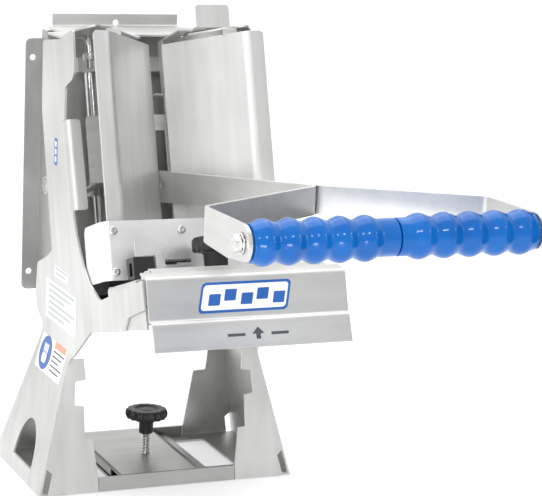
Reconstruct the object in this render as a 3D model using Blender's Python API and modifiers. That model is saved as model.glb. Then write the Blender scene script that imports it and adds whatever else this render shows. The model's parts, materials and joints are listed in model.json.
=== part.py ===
"""Lever-operated produce dicer on an open sheet-metal stand, modelled as separate pieces.

Metres, +Z up, X to the right, Y to the back. The origin is on the underside of the stand.
The working parts lean back by TILT. Their places are given as (x, v, w): v runs forward,
square to the lean, and w runs up the lean.
"""

import math

import bmesh
import bpy
from mathutils import Matrix, Vector

# Driving dimensions -------------------------------------------------------------------------
TILT = math.radians(18.0)       # lean of the chamber, guards and pusher
SHEET = 0.002                   # folded sheet
LEVER_SHEET = 0.003             # lever plates
GAP = 0.0003                    # clearance between touching pieces
BEND = 0.004                    # outer radius of a fold

PANEL_X = 0.0935                # outer face of the side panels
FOOT_X = 0.1270                 # outer face of the flared legs at the floor
FLARE_Z = 0.130                 # height of the fold between panel and leg
WALL_Y = 0.141                  # back face of the wall flanges
BOX_X = 0.075                   # outer face of the wall bracket's box

GUARD_EDGE_X = 0.0062           # half of the slot that the lever moves in
GUARD_FOLD_X = 0.067
GUARD_OUT_X = 0.0828
GUARD_EDGE_V = 0.1038
GUARD_FOLD_V = 0.1680
GUARD_OUT_V = 0.1722
GUARD_W = (0.2000, 0.3985)

FRONT_V = 0.1785                # outer face of the front plate
FRONT_X = 0.0908
FRONT_W = (0.1715, 0.2245)
DECK_W = 0.1640                 # mid-plane of the deck
DECK_V = (0.1810, 0.2560)

PIVOT_V, PIVOT_W = -0.022, 0.285        # lever pivot
LEVER_DROP = math.radians(9.7)          # the lowered lever points this far below v
LEVER_SWING = math.radians(45.0)        # lever travel
DRIVE_V = 0.056                         # pusher drive pin
PUSHER_TRAVEL = 0.0680
HANDLE_Y, HANDLE_Z = -0.4916, 0.3290    # handle axis
YOKE_Y = -0.4165                        # where the yoke's arms turn into the end tabs
YOKE_X = 0.1180                         # middle of the yoke's end tabs

BACK_V = 0.010                  # front face of the chamber's back plate
CARTRIDGE_W = (0.1400, 0.1520)
CARTRIDGE_V = (0.0125, 0.1700)
CARTRIDGE_X = 0.0865
BLADE_PITCH = 0.0127            # half-inch dice
BLADE = 0.0008
PUSHER_X = 0.0600
PUSHER_V = (0.0320, 0.0985)

HINGE_V, HINGE_W = 0.2640, 0.1675       # lift guard's hinge pin
CLAMP_V = 0.2165                        # clamp knob's axis
KNOB_R = 0.0205
BASE_KNOB_Y = 0.015

ROD_X, ROD_V, ROD_R = 0.040, 0.0215, 0.005

SIN, COS = math.sin(TILT), math.cos(TILT)
X_AXIS = Vector((1.0, 0.0, 0.0))
Y_AXIS = Vector((0.0, 1.0, 0.0))
Z_AXIS = Vector((0.0, 0.0, 1.0))
V_AXIS = Vector((0.0, -COS, SIN))
W_AXIS = Vector((0.0, SIN, COS))
SIDES = (("left", -1.0), ("right", 1.0))


# Scene and materials ------------------------------------------------------------------------
def clear_scene():
    for obj in list(bpy.data.objects):
        bpy.data.objects.remove(obj, do_unlink=True)


def collection(name):
    made = bpy.data.collections.new(name)
    bpy.context.scene.collection.children.link(made)
    return made


clear_scene()
PARTS = collection("produce_dicer")
CUTTERS = collection("cutters")


def material(name, colour, roughness, metallic):
    mat = bpy.data.materials.new(name)
    mat.use_nodes = True
    shader = mat.node_tree.nodes["Principled BSDF"]
    shader.inputs["Base Color"].default_value = (*colour, 1.0)
    shader.inputs["Roughness"].default_value = roughness
    shader.inputs["Metallic"].default_value = metallic
    return mat


STEEL = material("brushed_steel", (0.72, 0.72, 0.71), 0.35, 1.0)
BRIGHT = material("bright_steel", (0.80, 0.80, 0.80), 0.18, 1.0)
BLUE = material("blue_grip", (0.01, 0.10, 0.80), 0.20, 0.0)
BLACK = material("black_plastic", (0.02, 0.02, 0.02), 0.45, 0.0)
WHITE = material("white_nylon", (0.85, 0.85, 0.83), 0.40, 0.0)


# Geometry helpers ---------------------------------------------------------------------------
def vw(v, w, x=0.0):
    """World point of (x, v, w)."""
    return X_AXIS * x + V_AXIS * v + W_AXIS * w


def frame(origin, a_axis, b_axis):
    """Matrix whose local x and y run along a_axis and b_axis."""
    a_axis, b_axis = Vector(a_axis).normalized(), Vector(b_axis).normalized()
    matrix = Matrix((a_axis, b_axis, a_axis.cross(b_axis))).transposed().to_4x4()
    matrix.translation = origin
    return matrix


def side_frame(x):
    return frame((x, 0, 0), Y_AXIS, Z_AXIS)


def side_vw_frame(x):
    return frame((x, 0, 0), V_AXIS, W_AXIS)


def face_frame(v):
    return frame(V_AXIS * v, X_AXIS, W_AXIS)


def deck_frame(w):
    return frame(W_AXIS * w, X_AXIS, V_AXIS)


def along(axis, origin):
    """Matrix whose local z runs along axis, for cylinders and turned pieces."""
    axis = Vector(axis).normalized()
    matrix = Z_AXIS.rotation_difference(axis).to_matrix().to_4x4()
    matrix.translation = origin
    return matrix


def link(name, mesh, mat, guide=False):
    obj = bpy.data.objects.new(name, mesh)
    (CUTTERS if guide else PARTS).objects.link(obj)
    if guide:
        obj.hide_render = True
        obj.display_type = "WIRE"
    if mat is not None:
        mesh.materials.append(mat)
    return obj


def rounded(points, radii, segments=3):
    """Closed outline with arcs at its corners; radii is one number or {corner index: radius}."""
    out = []
    count = len(points)
    for index, point in enumerate(points):
        radius = radii.get(index, 0.0) if isinstance(radii, dict) else radii
        here = Vector(point)
        before = Vector(points[index - 1]) - here
        after = Vector(points[(index + 1) % count]) - here
        angle = before.angle(after)
        if radius <= 0.0 or angle > math.radians(175):
            out.append(here)
            continue
        reach = min(radius / math.tan(angle / 2), 0.49 * before.length, 0.49 * after.length)
        start = here + before.normalized() * reach
        end = here + after.normalized() * reach
        for step in range(segments + 1):
            t = step / segments
            out.append(start * (1 - t) ** 2 + here * 2 * t * (1 - t) + end * t ** 2)
    return out


def fold_outline(path, thickness=SHEET, radius=BEND, segments=4):
    """Closed outline of a sheet that follows an open path and folds at each of its corners."""
    middle = [Vector(path[0])]
    bend = radius - thickness / 2
    for index in range(1, len(path) - 1):
        here = Vector(path[index])
        before = (Vector(path[index - 1]) - here)
        after = (Vector(path[index + 1]) - here)
        half = before.angle(after) / 2
        reach = bend / math.tan(half)
        inward = (before.normalized() + after.normalized()).normalized()
        centre = here + inward * (bend / math.sin(half))
        start = here + before.normalized() * reach - centre
        end = here + after.normalized() * reach - centre
        turn = start.angle_signed(end)
        for step in range(segments + 1):
            angle = -turn * step / segments
            spun = Matrix.Rotation(angle, 2) @ start
            middle.append(centre + spun)
    middle.append(Vector(path[-1]))
    left, right = [], []
    for index, point in enumerate(middle):
        ahead = middle[min(index + 1, len(middle) - 1)] - point
        behind = point - middle[max(index - 1, 0)]
        direction = ahead.normalized() + behind.normalized()
        normal = Vector((-direction.y, direction.x)).normalized() * thickness / 2
        left.append(point + normal)
        right.append(point - normal)
    return left + right[::-1]


def circle(centre, radius, count=16):
    cx, cy = centre
    turn = 2 * math.pi / count
    return [(cx + radius * math.cos(turn * i), cy + radius * math.sin(turn * i))
            for i in range(count)]


def rectangle(x0, x1, y0, y1):
    return [(x0, y0), (x1, y0), (x1, y1), (x0, y1)]


def mirrored(points, side):
    return [(side * p[0], p[1]) for p in points]


def slab(name, loops, thickness, matrix, mat=STEEL, guide=False):
    """Flat outline, with holes as further loops, thickened evenly about its plane."""
    curve = bpy.data.curves.new(name, "CURVE")
    curve.dimensions = "2D"
    curve.fill_mode = "BOTH"
    curve.extrude = thickness / 2
    for loop in loops:
        spline = curve.splines.new("POLY")
        spline.points.add(len(loop) - 1)
        for point, place in zip(spline.points, loop):
            point.co = (place[0], place[1], 0.0, 1.0)
        spline.use_cyclic_u = True
    holder = bpy.data.objects.new(name + "_outline", curve)
    CUTTERS.objects.link(holder)
    bpy.context.view_layer.update()
    evaluated = holder.evaluated_get(bpy.context.evaluated_depsgraph_get())
    mesh = bpy.data.meshes.new_from_object(evaluated)
    bpy.data.objects.remove(holder, do_unlink=True)
    bm = bmesh.new()
    bm.from_mesh(mesh)
    bmesh.ops.remove_doubles(bm, verts=bm.verts, dist=0.00001)
    bmesh.ops.recalc_face_normals(bm, faces=bm.faces)
    bm.to_mesh(mesh)
    bm.free()
    mesh.name = name
    mesh.materials.clear()
    obj = link(name, mesh, mat, guide)
    obj.matrix_world = matrix
    return obj


def box(name, corner, size, matrix, mat=STEEL, guide=False):
    """Block with its lowest corner at corner, in the matrix's own axes."""
    mesh = bpy.data.meshes.new(name)
    bm = bmesh.new()
    bmesh.ops.create_cube(bm, size=1.0)
    for vert in bm.verts:
        vert.co = Vector([corner[i] + (vert.co[i] + 0.5) * size[i] for i in range(3)])
    bm.to_mesh(mesh)
    bm.free()
    obj = link(name, mesh, mat, guide)
    obj.matrix_world = matrix
    return obj


def rod(name, start, end, radius, mat=BRIGHT, sides=20, guide=False, tip_radius=None):
    """Round bar between two world points."""
    start, end = Vector(start), Vector(end)
    mesh = bpy.data.meshes.new(name)
    bm = bmesh.new()
    bmesh.ops.create_cone(bm, cap_ends=True, segments=sides, radius1=radius,
                          radius2=radius if tip_radius is None else tip_radius,
                          depth=(end - start).length)
    bm.to_mesh(mesh)
    bm.free()
    mesh.shade_smooth()
    mesh.set_sharp_from_angle(angle=math.radians(40))
    obj = link(name, mesh, mat, guide)
    obj.matrix_world = along(end - start, (start + end) / 2)
    return obj


def turned(name, profile, matrix, mat=BRIGHT, steps=24, closed=False, guide=False):
    """Solid of revolution; profile is (radius, height) from top to bottom on its outer side."""
    mesh = bpy.data.meshes.new(name)
    bm = bmesh.new()
    verts = [bm.verts.new((radius, 0.0, height)) for radius, height in profile]
    for a, b in zip(verts, verts[1:]):
        bm.edges.new((a, b))
    if closed:
        bm.edges.new((verts[-1], verts[0]))
    bm.to_mesh(mesh)
    bm.free()
    obj = link(name, mesh, mat, guide)
    screw = obj.modifiers.new("Turn", "SCREW")
    screw.steps = steps
    screw.render_steps = steps
    screw.use_merge_vertices = True
    screw.merge_threshold = 0.00001
    screw.use_smooth_shade = True
    obj.matrix_world = matrix
    return obj


def ring(name, inner, outer, start, end, mat=BRIGHT, steps=20):
    """Tube or washer between two world points."""
    start, end = Vector(start), Vector(end)
    length = (end - start).length
    profile = [(outer, length), (outer, 0.0), (inner, 0.0), (inner, length)]
    return turned(name, profile, along(end - start, start), mat, steps, closed=True)


def combine(target, operation, *tools):
    for tool in tools:
        modifier = target.modifiers.new(operation.title(), "BOOLEAN")
        modifier.operation = operation
        modifier.object = tool
        modifier.solver = "EXACT"
    return target


def cut(target, *tools):
    return combine(target, "DIFFERENCE", *tools)


def unite(target, *tools):
    return combine(target, "UNION", *tools)


def keep_inside(target, *tools):
    return combine(target, "INTERSECT", *tools)


def hole(name, start, end, radius, sides=16):
    return rod(name + "_hole", start, end, radius, None, sides, guide=True)


def hang_on(name, place, parts):
    """Put an empty on a joint's axis and parent the moving pieces to it."""
    axis = bpy.data.objects.new(name, None)
    PARTS.objects.link(axis)
    axis.location = place
    bpy.context.view_layer.update()
    for part in parts:
        part.parent = axis
        part.matrix_parent_inverse = axis.matrix_world.inverted()
    return axis


# Stand --------------------------------------------------------------------------------------
LEG_SLOPE = (FOOT_X - PANEL_X) / FLARE_Z        # outward flare of the legs
FRONT_LEAN = 0.1723                             # the legs' front edge, Y per Z
REAR_LEAN = -0.302                              # the legs' rear edge, Y per Z
LEG_FRONT_Y = -0.050
LEG_REAR_Y = 0.0995
UPSTAND = 0.0135
KEEL_X = 0.0685                                 # half width of the base's upstands


def leg_face(z):
    """Outer face of a leg at height z."""
    return FOOT_X - LEG_SLOPE * z


def stand_base():
    half = leg_face(SHEET) - SHEET * 1.08 - GAP
    plan = [(-half, LEG_FRONT_Y + 0.0032), (half, LEG_FRONT_Y + 0.0032),
            (half, LEG_REAR_Y - 0.0036), (-half, LEG_REAR_Y - 0.0036)]
    slots = {"left": rectangle(-0.0860, -0.0470, -0.0200, 0.0785),
             "right": rectangle(0.0530, 0.0860, -0.0100, 0.0785)}
    floor = frame((0, 0, SHEET / 2), X_AXIS, Y_AXIS)
    plate = slab("stand_base", [plan], SHEET, floor)
    for name, y, lean in (("front", LEG_FRONT_Y + 0.0011, FRONT_LEAN),
                          ("rear", LEG_REAR_Y - 0.0012, REAR_LEAN)):
        up = Vector((0, lean, 1))
        outline = rectangle(-KEEL_X, KEEL_X, 0.0, UPSTAND)
        upstand = slab(f"base_upstand_{name}", [outline], SHEET,
                       frame((0, y, 0), X_AXIS, up), None, guide=True)
        step = box(f"base_step_{name}", (-KEEL_X, min(y, y * 0.95), 0.0),
                   (2 * KEEL_X, abs(y * 0.05), SHEET), Matrix.Identity(4), None, guide=True)
        unite(plate, upstand, step)
    for name, slot in slots.items():
        cut(plate, slab(f"base_slot_{name}", [rounded(slot, 0.004)], 0.01, floor, None, True))
    return cut(plate, hole("base_screw", (0, BASE_KNOB_Y, -0.01), (0, BASE_KNOB_Y, 0.01), 0.0046))


def hold_down_plate():
    """Raised plate between the slots, which the hold-down screw is threaded through."""
    path = [(-0.0445, 0.0030), (-0.0445, 0.0125), (0.0300, 0.0125), (0.0440, 0.0034),
            (0.0510, 0.0034)]
    start, end = -0.0452, 0.0926
    plate = slab("hold_down_plate", [fold_outline(path, radius=0.0025)], end - start,
                 frame((0, (start + end) / 2, 0), X_AXIS, Z_AXIS))
    gap = box("hold_down_plate_gap", (-0.0470, -0.0500, 0.0), (0.0050, 0.0350, 0.0100),
              Matrix.Identity(4), None, guide=True)
    thread = hole("hold_down_plate", (0, BASE_KNOB_Y, 0.0080), (0, BASE_KNOB_Y, 0.0200), 0.0043)
    return cut(plate, gap, thread)


# Side panels --------------------------------------------------------------------------------
LIP = 0.0150                    # width of the lip folded in along the panel's front edge
LIP_BEND = 0.0060               # radius of that fold
WING_FRONT = (-0.2175, 0.2412)


def panel_outline():
    """Side view (Y, Z) of a panel with its forward wing and its leg."""
    points = [(-0.0140, 0.4295), (-0.0200, 0.4025), (-0.0208, 0.3916), (-0.0155, 0.3837),
              (0.0050, 0.3746), (0.0044, 0.3459), (-0.0285, 0.2610), (-0.0381, 0.2442),
              (-0.0623, 0.2185), (-0.0777, 0.2080), (-0.1100, 0.1988), (-0.1638, 0.2195),
              WING_FRONT, (-0.2265, 0.2178), (-0.1855, 0.2012), (-0.1770, 0.1870),
              (-0.0867, 0.1639), (-0.0649, 0.1482), (-0.0346, 0.1263), (-0.0290, 0.1200),
              (LEG_FRONT_Y, 0.0), (LEG_REAR_Y, 0.0), (0.0600, 0.1310), (0.0610, 0.1404),
              (0.0775, 0.1480), (0.0841, 0.1643), (0.0800, 0.1941), (0.0495, 0.2064),
              (0.0340, 0.2154), (0.0755, 0.3434), (0.0769, 0.4101), (0.0204, 0.4171),
              (0.0086, 0.4230)]
    radii = {0: 0.004, 2: 0.004, 3: 0.008, 4: 0.006, 6: 0.004, 12: 0.004, 10: 0.020,
             16: 0.012, 18: 0.008, 24: 0.010, 25: 0.010, 26: 0.006, 29: 0.020, 30: 0.004}
    return rounded(points, radii)


def leg_arch(side_sign):
    """Cutter for the arch-shaped opening low in a leg."""
    middle, half, foot, rise = 0.0200, 0.0290, 0.0135, 0.0415
    arc = [(middle + half * math.cos(math.pi * i / 14), foot + rise * math.sin(math.pi * i / 14))
           for i in range(15)]
    place = side_frame(side_sign * FOOT_X * 0.95)
    return slab("leg_arch", [arc], 0.05, place, None, guide=True)


def leg_flange(name, side, y, lean, steps):
    """Flange folded inward from a leg's edge, with its stepped inner edge."""
    up = Vector((0, lean, 1))
    scale = up.length
    outer = [(leg_face(0.0250) - 0.0012, 0.0250), (leg_face(0.0200) - 0.0080, 0.0200),
             (leg_face(0.0) - 0.0080, 0.0)]
    top = steps[0][1]
    points = [*steps, (steps[-1][0], 0.0), *outer[::-1], (leg_face(top) - 0.0012, top)]
    points = [(side * px, pz * scale) for px, pz in points]
    return slab(name, [points], SHEET, frame((0, y, 0), X_AXIS, up), None, guide=True)


FRONT_STEPS = [(0.0800, 0.1240), (0.0782, 0.1045), (0.0885, 0.1030), (0.0900, 0.0817),
               (0.0810, 0.0800), (0.0810, 0.0500), (0.0735, 0.0492), (0.0690, 0.0130)]
REAR_STEPS = [(0.0820, 0.1280), (0.0838, 0.0768), (0.0708, 0.0759), (0.0690, 0.0130)]


def side_panel(name, side):
    inner = PANEL_X - SHEET / 2
    foot = FOOT_X - SHEET / 2 * 1.03
    fold = [(inner, 0.440), (inner, FLARE_Z), (foot + LEG_SLOPE * 0.01, -0.01)]
    sheet = fold_outline(mirrored(fold, side), radius=0.012, segments=3)
    depth, middle = 0.38, -0.07
    panel = slab(name, [sheet], depth, frame((0, middle, 0), X_AXIS, Z_AXIS))
    silhouette = slab(f"{name}_silhouette", [panel_outline()], 0.12,
                      side_frame(side * 0.105), None, guide=True)
    keep_inside(panel, silhouette)
    cut(panel, leg_arch(side))
    flanges = [leg_flange(f"{name}_front_flange", side, LEG_FRONT_Y + 0.0011, FRONT_LEAN,
                          FRONT_STEPS),
               leg_flange(f"{name}_rear_flange", side, LEG_REAR_Y - 0.0012, REAR_LEAN,
                          REAR_STEPS)]
    unite(panel, *flanges)
    # Lip folded inward along the sloping front edge, between its two relief corners.
    low, high = Vector((-0.0275, 0.2650)), Vector((0.0038, 0.3445))
    run = Vector((0, high.x - low.x, high.y - low.y))
    forward = Vector((0, -run.z, run.y)).normalized()
    middle = Vector((0, low.x + 0.0006, low.y)) + run / 2
    section = [(inner, -0.0090), (inner, 0.0), (PANEL_X - LIP, 0.0)]
    lip = slab(f"{name}_lip", [fold_outline(mirrored(section, side), SHEET - 0.0002, LIP_BEND, 6)],
               run.length, frame(middle, X_AXIS, forward), None, guide=True)
    face = rounded(rectangle(PANEL_X - LIP + 0.0002, PANEL_X + 0.02, -run.length / 2,
                             run.length / 2), 0.0035)
    keep_inside(lip, slab(f"{name}_lip_face", [mirrored(face, side)], 0.040,
                          frame(middle, X_AXIS, run), None, guide=True))
    relief = slab(f"{name}_lip_relief", [rectangle(-0.0065, 0.0065, -run.length / 2 - 0.0002,
                                                   run.length / 2 + 0.0002)], 0.010,
                  frame(middle + X_AXIS * side * PANEL_X, forward, run), None, guide=True)
    cut(panel, relief)
    # Rear flange that closes the gap to the wall bracket's box.
    low, high = Vector((0.0352, 0.2200)), Vector((0.0740, 0.3400))
    run = high - low
    width = PANEL_X - BOX_X - 2 * GAP
    seat_frame = frame((side * (PANEL_X - 0.0002 - width / 2), low.x - 0.0006, low.y),
                       X_AXIS, (0, run.x, run.y))
    seat = slab(f"{name}_seat", [rectangle(-width / 2, width / 2, 0.0, run.length)], SHEET,
                seat_frame, None, guide=True)
    # Short return at the wing's front edge.
    tip = Vector((0, WING_FRONT[0] + 0.0016, WING_FRONT[1] - 0.004))
    down = Vector((0, -0.2270 - WING_FRONT[0], 0.2175 - WING_FRONT[1]))
    tip_frame = frame(tip + X_AXIS * side * (PANEL_X - 0.0035), X_AXIS, down)
    nose = slab(f"{name}_nose", [rectangle(-0.0032, 0.0032, 0.0, 0.018)], SHEET, tip_frame,
                None, guide=True)
    unite(panel, lip, seat, nose)
    return panel


# Wall bracket and top cap -------------------------------------------------------------------
BRACKET_Z = (0.154, 0.405)
BACK_TOP_W = 0.4325             # top edge of the chamber's back plate, just under the cap


def wall_bracket():
    """Box with an inclined front, side flanges on the wall and a slot for the lever."""
    wide = BOX_X - SHEET / 2
    back = slab("wall_bracket", [rectangle(-wide, wide, 0.150, BACK_TOP_W)], SHEET,
                face_frame(BACK_V - SHEET / 2))
    top = vw(BACK_V - 0.0015, BACK_TOP_W - 0.0002)
    low = vw(BACK_V - 0.0015, 0.1520)
    for name, side in SIDES:
        wall = [(WALL_Y - 0.0005, BRACKET_Z[0]), (WALL_Y - 0.0005, top.z - 0.0002),
                (top.y, top.z), (low.y, low.z)]
        cheek = slab(f"bracket_wall_{name}", [wall], SHEET,
                     side_frame(side * (BOX_X - SHEET / 2)), None, guide=True)
        flange = rounded(rectangle(BOX_X - SHEET, 0.0915, *BRACKET_Z), {1: 0.006, 2: 0.006})
        holes = [circle((0.0845, 0.3864), 0.0032, 12), circle((0.0845, 0.1721), 0.0032, 12)]
        loops = [mirrored(loop, side) for loop in (flange, *holes)]
        plate = slab(f"bracket_flange_{name}", loops, SHEET,
                     frame((0, WALL_Y - SHEET / 2, 0), X_AXIS, Z_AXIS), None, guide=True)
        pin_hole = hole(f"bracket_pin_{name}", vw(PIVOT_V, PIVOT_W, side * 0.060),
                        vw(PIVOT_V, PIVOT_W, side * 0.090), 0.0064, 20)
        unite(back, cheek, plate)
        cut(back, pin_hole)
    slot = box("bracket_lever_slot", (-0.008, 0.228, -0.02), (0.016, 0.130, 0.04),
               face_frame(BACK_V), None, guide=True)
    return cut(back, slot)


CAP_Z = 0.4165                  # middle of the cap's level part
CAP_FOLD_Y = 0.0330
CAP_W = CAP_FOLD_Y * SIN + CAP_Z * COS  # middle of the cap's inclined part


def top_cap():
    """Cap with a level rear, an inclined V-shaped front and a flange on the wall."""
    front = Vector((0, CAP_FOLD_Y, CAP_Z)) + V_AXIS * 0.0560
    path = [(WALL_Y - SHEET / 2, 0.4290), (WALL_Y - SHEET / 2, CAP_Z),
            (CAP_FOLD_Y, CAP_Z), (front.y, front.z)]
    width = 2 * 0.0900
    cap = slab("top_cap", [fold_outline(path, radius=0.0035)], width, side_frame(0.0))
    half = [(0.065, 0.150), (0.065, 0.132), (0.0735, 0.124), (0.0735, 0.0830),
            (0.0890, 0.0770), (0.0890, 0.0020), (0.0745, -0.0215), (0.0560, -0.0100),
            (0.0300, 0.0170)]
    notch = [(0.0300, 0.0570), (-0.0100, 0.0570)]
    plan = half + notch + [(-0.0100, 0.0380)]
    plan += mirrored(half[:-1], -1.0)[::-1]
    shape = slab("top_cap_plan", [rounded(plan, {3: 0.0, 5: 0.004, 6: 0.003, 13: 0.003})], 0.10,
                 frame((0, 0, 0.42), X_AXIS, Y_AXIS), None, guide=True)
    wall_hole = hole("cap_wall", (0, WALL_Y - 0.01, 0.4205), (0, WALL_Y + 0.01, 0.4205), 0.0032)
    return cut(keep_inside(cap, shape), wall_hole)


def cap_stud():
    """Stud welded under the cap's left side, with its hex nut."""
    root = vw(0.1050, CAP_W - SHEET / 2 - GAP, -0.0660)
    stud = rod("cap_stud", root - W_AXIS * 0.0290, root, 0.0030, BRIGHT, 14)
    nut_part = rod("cap_stud_nut", root - W_AXIS * 0.0210, root - W_AXIS * 0.0150, 0.0062, None,
                   6, True)
    return unite(stud, nut_part)


# Guards and front plate ---------------------------------------------------------------------
def guard(name, side):
    """Folded guard: a narrow front strip and a face that slopes back to the lever's slot."""
    path = [(GUARD_OUT_X, GUARD_OUT_V - SHEET), (GUARD_FOLD_X, GUARD_FOLD_V),
            (GUARD_EDGE_X + 0.0007, GUARD_EDGE_V)]
    length = GUARD_W[1] - GUARD_W[0]
    sheet = slab(name, [fold_outline(mirrored(path, side), radius=0.014, segments=8)], length,
                 deck_frame(sum(GUARD_W) / 2))
    corner = [(GUARD_OUT_X - 0.004, GUARD_W[1] + 0.002), (GUARD_OUT_X + 0.002, GUARD_W[1] + 0.002),
              (GUARD_OUT_X + 0.002, GUARD_W[1] - 0.006)]
    trim = slab(f"{name}_corner", [mirrored(corner, side)], 0.06, face_frame(0.165), None, True)
    # Short ear at the top that the cap rests on.
    ear = box(f"{name}_ear", (min(side * 0.050, side * 0.064), 0.1500, -0.4040), (0.014, 0.0035,
              0.0070), deck_frame(0.0), None, guide=True)
    return unite(cut(sheet, trim), ear)


def front_plate():
    """Channel across the front, with a foot that the clamp knob holds to the deck."""
    face = FRONT_V - SHEET / 2
    half = FRONT_X - SHEET / 2
    path = [(-half, 0.128), (-half, face), (half, face), (half, 0.128)]
    height = FRONT_W[1] - FRONT_W[0]
    plate = slab("front_plate", [fold_outline(path, radius=0.008, segments=6)], height,
                 deck_frame(sum(FRONT_W) / 2))
    slot = box("front_plate_slot", (-0.0335, 0.1835, -0.02), (0.0250, 0.0048, 0.04),
               face_frame(FRONT_V), None, guide=True)
    for name, side in SIDES:
        corner = [(0.122, 0.2260), (0.122, 0.2130), (0.1335, 0.2260)]
        trim = slab(f"front_plate_corner_{name}", [corner], 0.02, side_vw_frame(side * FRONT_X),
                    None, guide=True)
        cut(plate, trim)
    foot_path = [(face - 0.0002, 0.1850), (face - 0.0002, 0.1665), (0.2380, 0.1665)]
    foot = slab("front_plate_foot", [fold_outline(foot_path, radius=0.003)], 0.044,
                side_vw_frame(0.0), None, guide=True)
    stud_hole = hole("front_plate_stud", vw(CLAMP_V, 0.160), vw(CLAMP_V, 0.175), 0.0036)
    cut(plate, slot)
    unite(plate, foot)
    return cut(plate, stud_hole)


# Places of the screws on the front plate, (x, w).
FRONT_SCREWS = (("upper_left", -0.0805, 0.2160), ("upper_right", 0.0805, 0.2160),
                ("lower_left", -0.0805, 0.1790), ("middle", -0.0160, 0.2145))


def front_screw(name, x, w):
    """Button-head screw seated on the front plate, with its shank through the plate."""
    profile = [(0.0, 0.0022), (0.0022, 0.0019), (0.0036, 0.0009), (0.0040, 0.0), (0.0, 0.0)]
    return turned(name, profile, along(V_AXIS, vw(FRONT_V + GAP, w, x)), BRIGHT, 14)


def latch_bracket():
    """Bent tab that hoods the cartridge latch."""
    face = [(-0.0685, 0.2048), (-0.0443, 0.1979), (-0.0409, 0.1713), (-0.0495, 0.1713),
            (-0.0500, 0.1908), (-0.0685, 0.1899)]
    plate = slab("latch_bracket", [rounded(face, 0.0012, 2)], 0.0016, face_frame(0.1985))
    web = [(FRONT_V + GAP, 0.1713), (0.1990, 0.1713), (0.1990, 0.1965), (FRONT_V + GAP, 0.1965)]
    side = slab("latch_bracket_web", [web], 0.0016, side_vw_frame(-0.0422), None, guide=True)
    return unite(plate, side)


# Cartridge deck, rails and the small roller --------------------------------------------------
def deck():
    """Deck across the wings in front of the blades, with ears for the lift guard's pin."""
    half = 0.0902
    path = [(-half + 0.001, 0.1560), (-half + 0.001, DECK_W), (half - 0.001, DECK_W),
            (half - 0.001, 0.1560)]
    length = DECK_V[1] - DECK_V[0]
    plate = slab("deck", [fold_outline(path, radius=0.0025, segments=3)], length,
                 face_frame(sum(DECK_V) / 2))
    for name, side in SIDES:
        ear = rounded([(0.2500, DECK_W - 0.0005), (0.2500, 0.1680), (0.2600, 0.1712),
                       (0.2678, 0.1712), (0.2678, 0.1637), (0.2590, DECK_W - 0.0005)],
                      {2: 0.003, 3: 0.003, 4: 0.003})
        tab = slab(f"deck_ear_{name}", [ear], SHEET, side_vw_frame(side * 0.0820), None, True)
        pin = hole(f"deck_pin_{name}", vw(HINGE_V, HINGE_W, side * 0.075),
                   vw(HINGE_V, HINGE_W, side * 0.090), 0.0024, 12)
        unite(plate, tab)
        cut(plate, pin)
    stud = hole("deck_stud", vw(CLAMP_V, 0.155), vw(CLAMP_V, 0.172), 0.0036)
    latch_pin = hole("deck_latch", vw(0.188, 0.155, -0.060), vw(0.188, 0.172, -0.060), 0.0034, 12)
    return cut(plate, stud, latch_pin)


def cartridge_rail(name, side):
    """Angle inside a wing that the blade cartridge slides on, deepened at its front."""
    web_x = PANEL_X - SHEET - GAP - SHEET / 2
    path = [(web_x, 0.1315), (web_x, 0.1385), (web_x - 0.0150, 0.1385)]
    low, high = BACK_V + 0.0025, 0.2790
    rail = slab(name, [fold_outline(mirrored(path, side), radius=0.003, segments=3)], high - low,
                face_frame((low + high) / 2))
    skirt = [(0.1600, 0.1283), (high, 0.1203), (high, 0.1340), (0.1600, 0.1340)]
    web = slab(f"{name}_skirt", [skirt], SHEET, side_vw_frame(side * web_x), None, guide=True)
    return unite(rail, web)


def roller():
    """Nylon roller and its axle, low behind the front plate."""
    parts = [ring("cartridge_roller", 0.0026, 0.0052, vw(0.1745, 0.1610, -0.0860),
                  vw(0.1745, 0.1610, -0.0690), WHITE)]
    return parts


# Lever and handle ---------------------------------------------------------------------------
PIVOT = vw(PIVOT_V, PIVOT_W)


def drive_pin_w(swing):
    """Height of the drive pin along w when the lever has swung by this angle."""
    start = PIVOT_W - (DRIVE_V - PIVOT_V) * math.tan(LEVER_DROP)
    return start + PUSHER_TRAVEL * swing / LEVER_SWING


def to_rest(v, w, swing):
    """Side-view point (Y, Z) of a spot on the swung lever, brought back to the rest pose."""
    dv, dw = v - PIVOT_V, w - PIVOT_W
    back_v = dv * math.cos(swing) + dw * math.sin(swing)
    back_w = dw * math.cos(swing) - dv * math.sin(swing)
    point = vw(PIVOT_V + back_v, PIVOT_W + back_w)
    return Vector((point.y, point.z))


def drive_slot(radius, steps=12):
    """Round-ended slot in the lever that holds the drive pin at every swing."""
    spots = [to_rest(DRIVE_V, drive_pin_w(LEVER_SWING * i / steps), LEVER_SWING * i / steps)
             for i in range(steps + 1)]
    pivot = Vector((PIVOT.y, PIVOT.z))
    along_lever = (spots[-1] - pivot).normalized()
    across = Vector((-along_lever.y, along_lever.x))
    reach = [(spot - pivot).dot(along_lever) for spot in spots]
    drift = [(spot - pivot).dot(across) for spot in spots]
    middle = (max(drift) + min(drift)) / 2
    half = radius + (max(drift) - min(drift)) / 2
    outline = []
    for end, start in ((max(reach), -math.pi / 2), (min(reach), math.pi / 2)):
        centre = pivot + along_lever * end + across * middle
        for i in range(9):
            angle = start + math.pi * i / 8
            outline.append(centre + along_lever * half * math.cos(angle)
                           + across * half * math.sin(angle))
    return outline


LATCH_FINGER = (0.0660, 0.0780, 0.3560)         # the latch finger's v range and middle w
LATCH_STEP = 0.0135                             # the latch's sideways travel
LATCH_TAB_V = 0.1400                            # front of the latch's upright tab
LATCH_SCREWS = (0.0370, 0.0590)                 # the latch's shoulder screws, X


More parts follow.
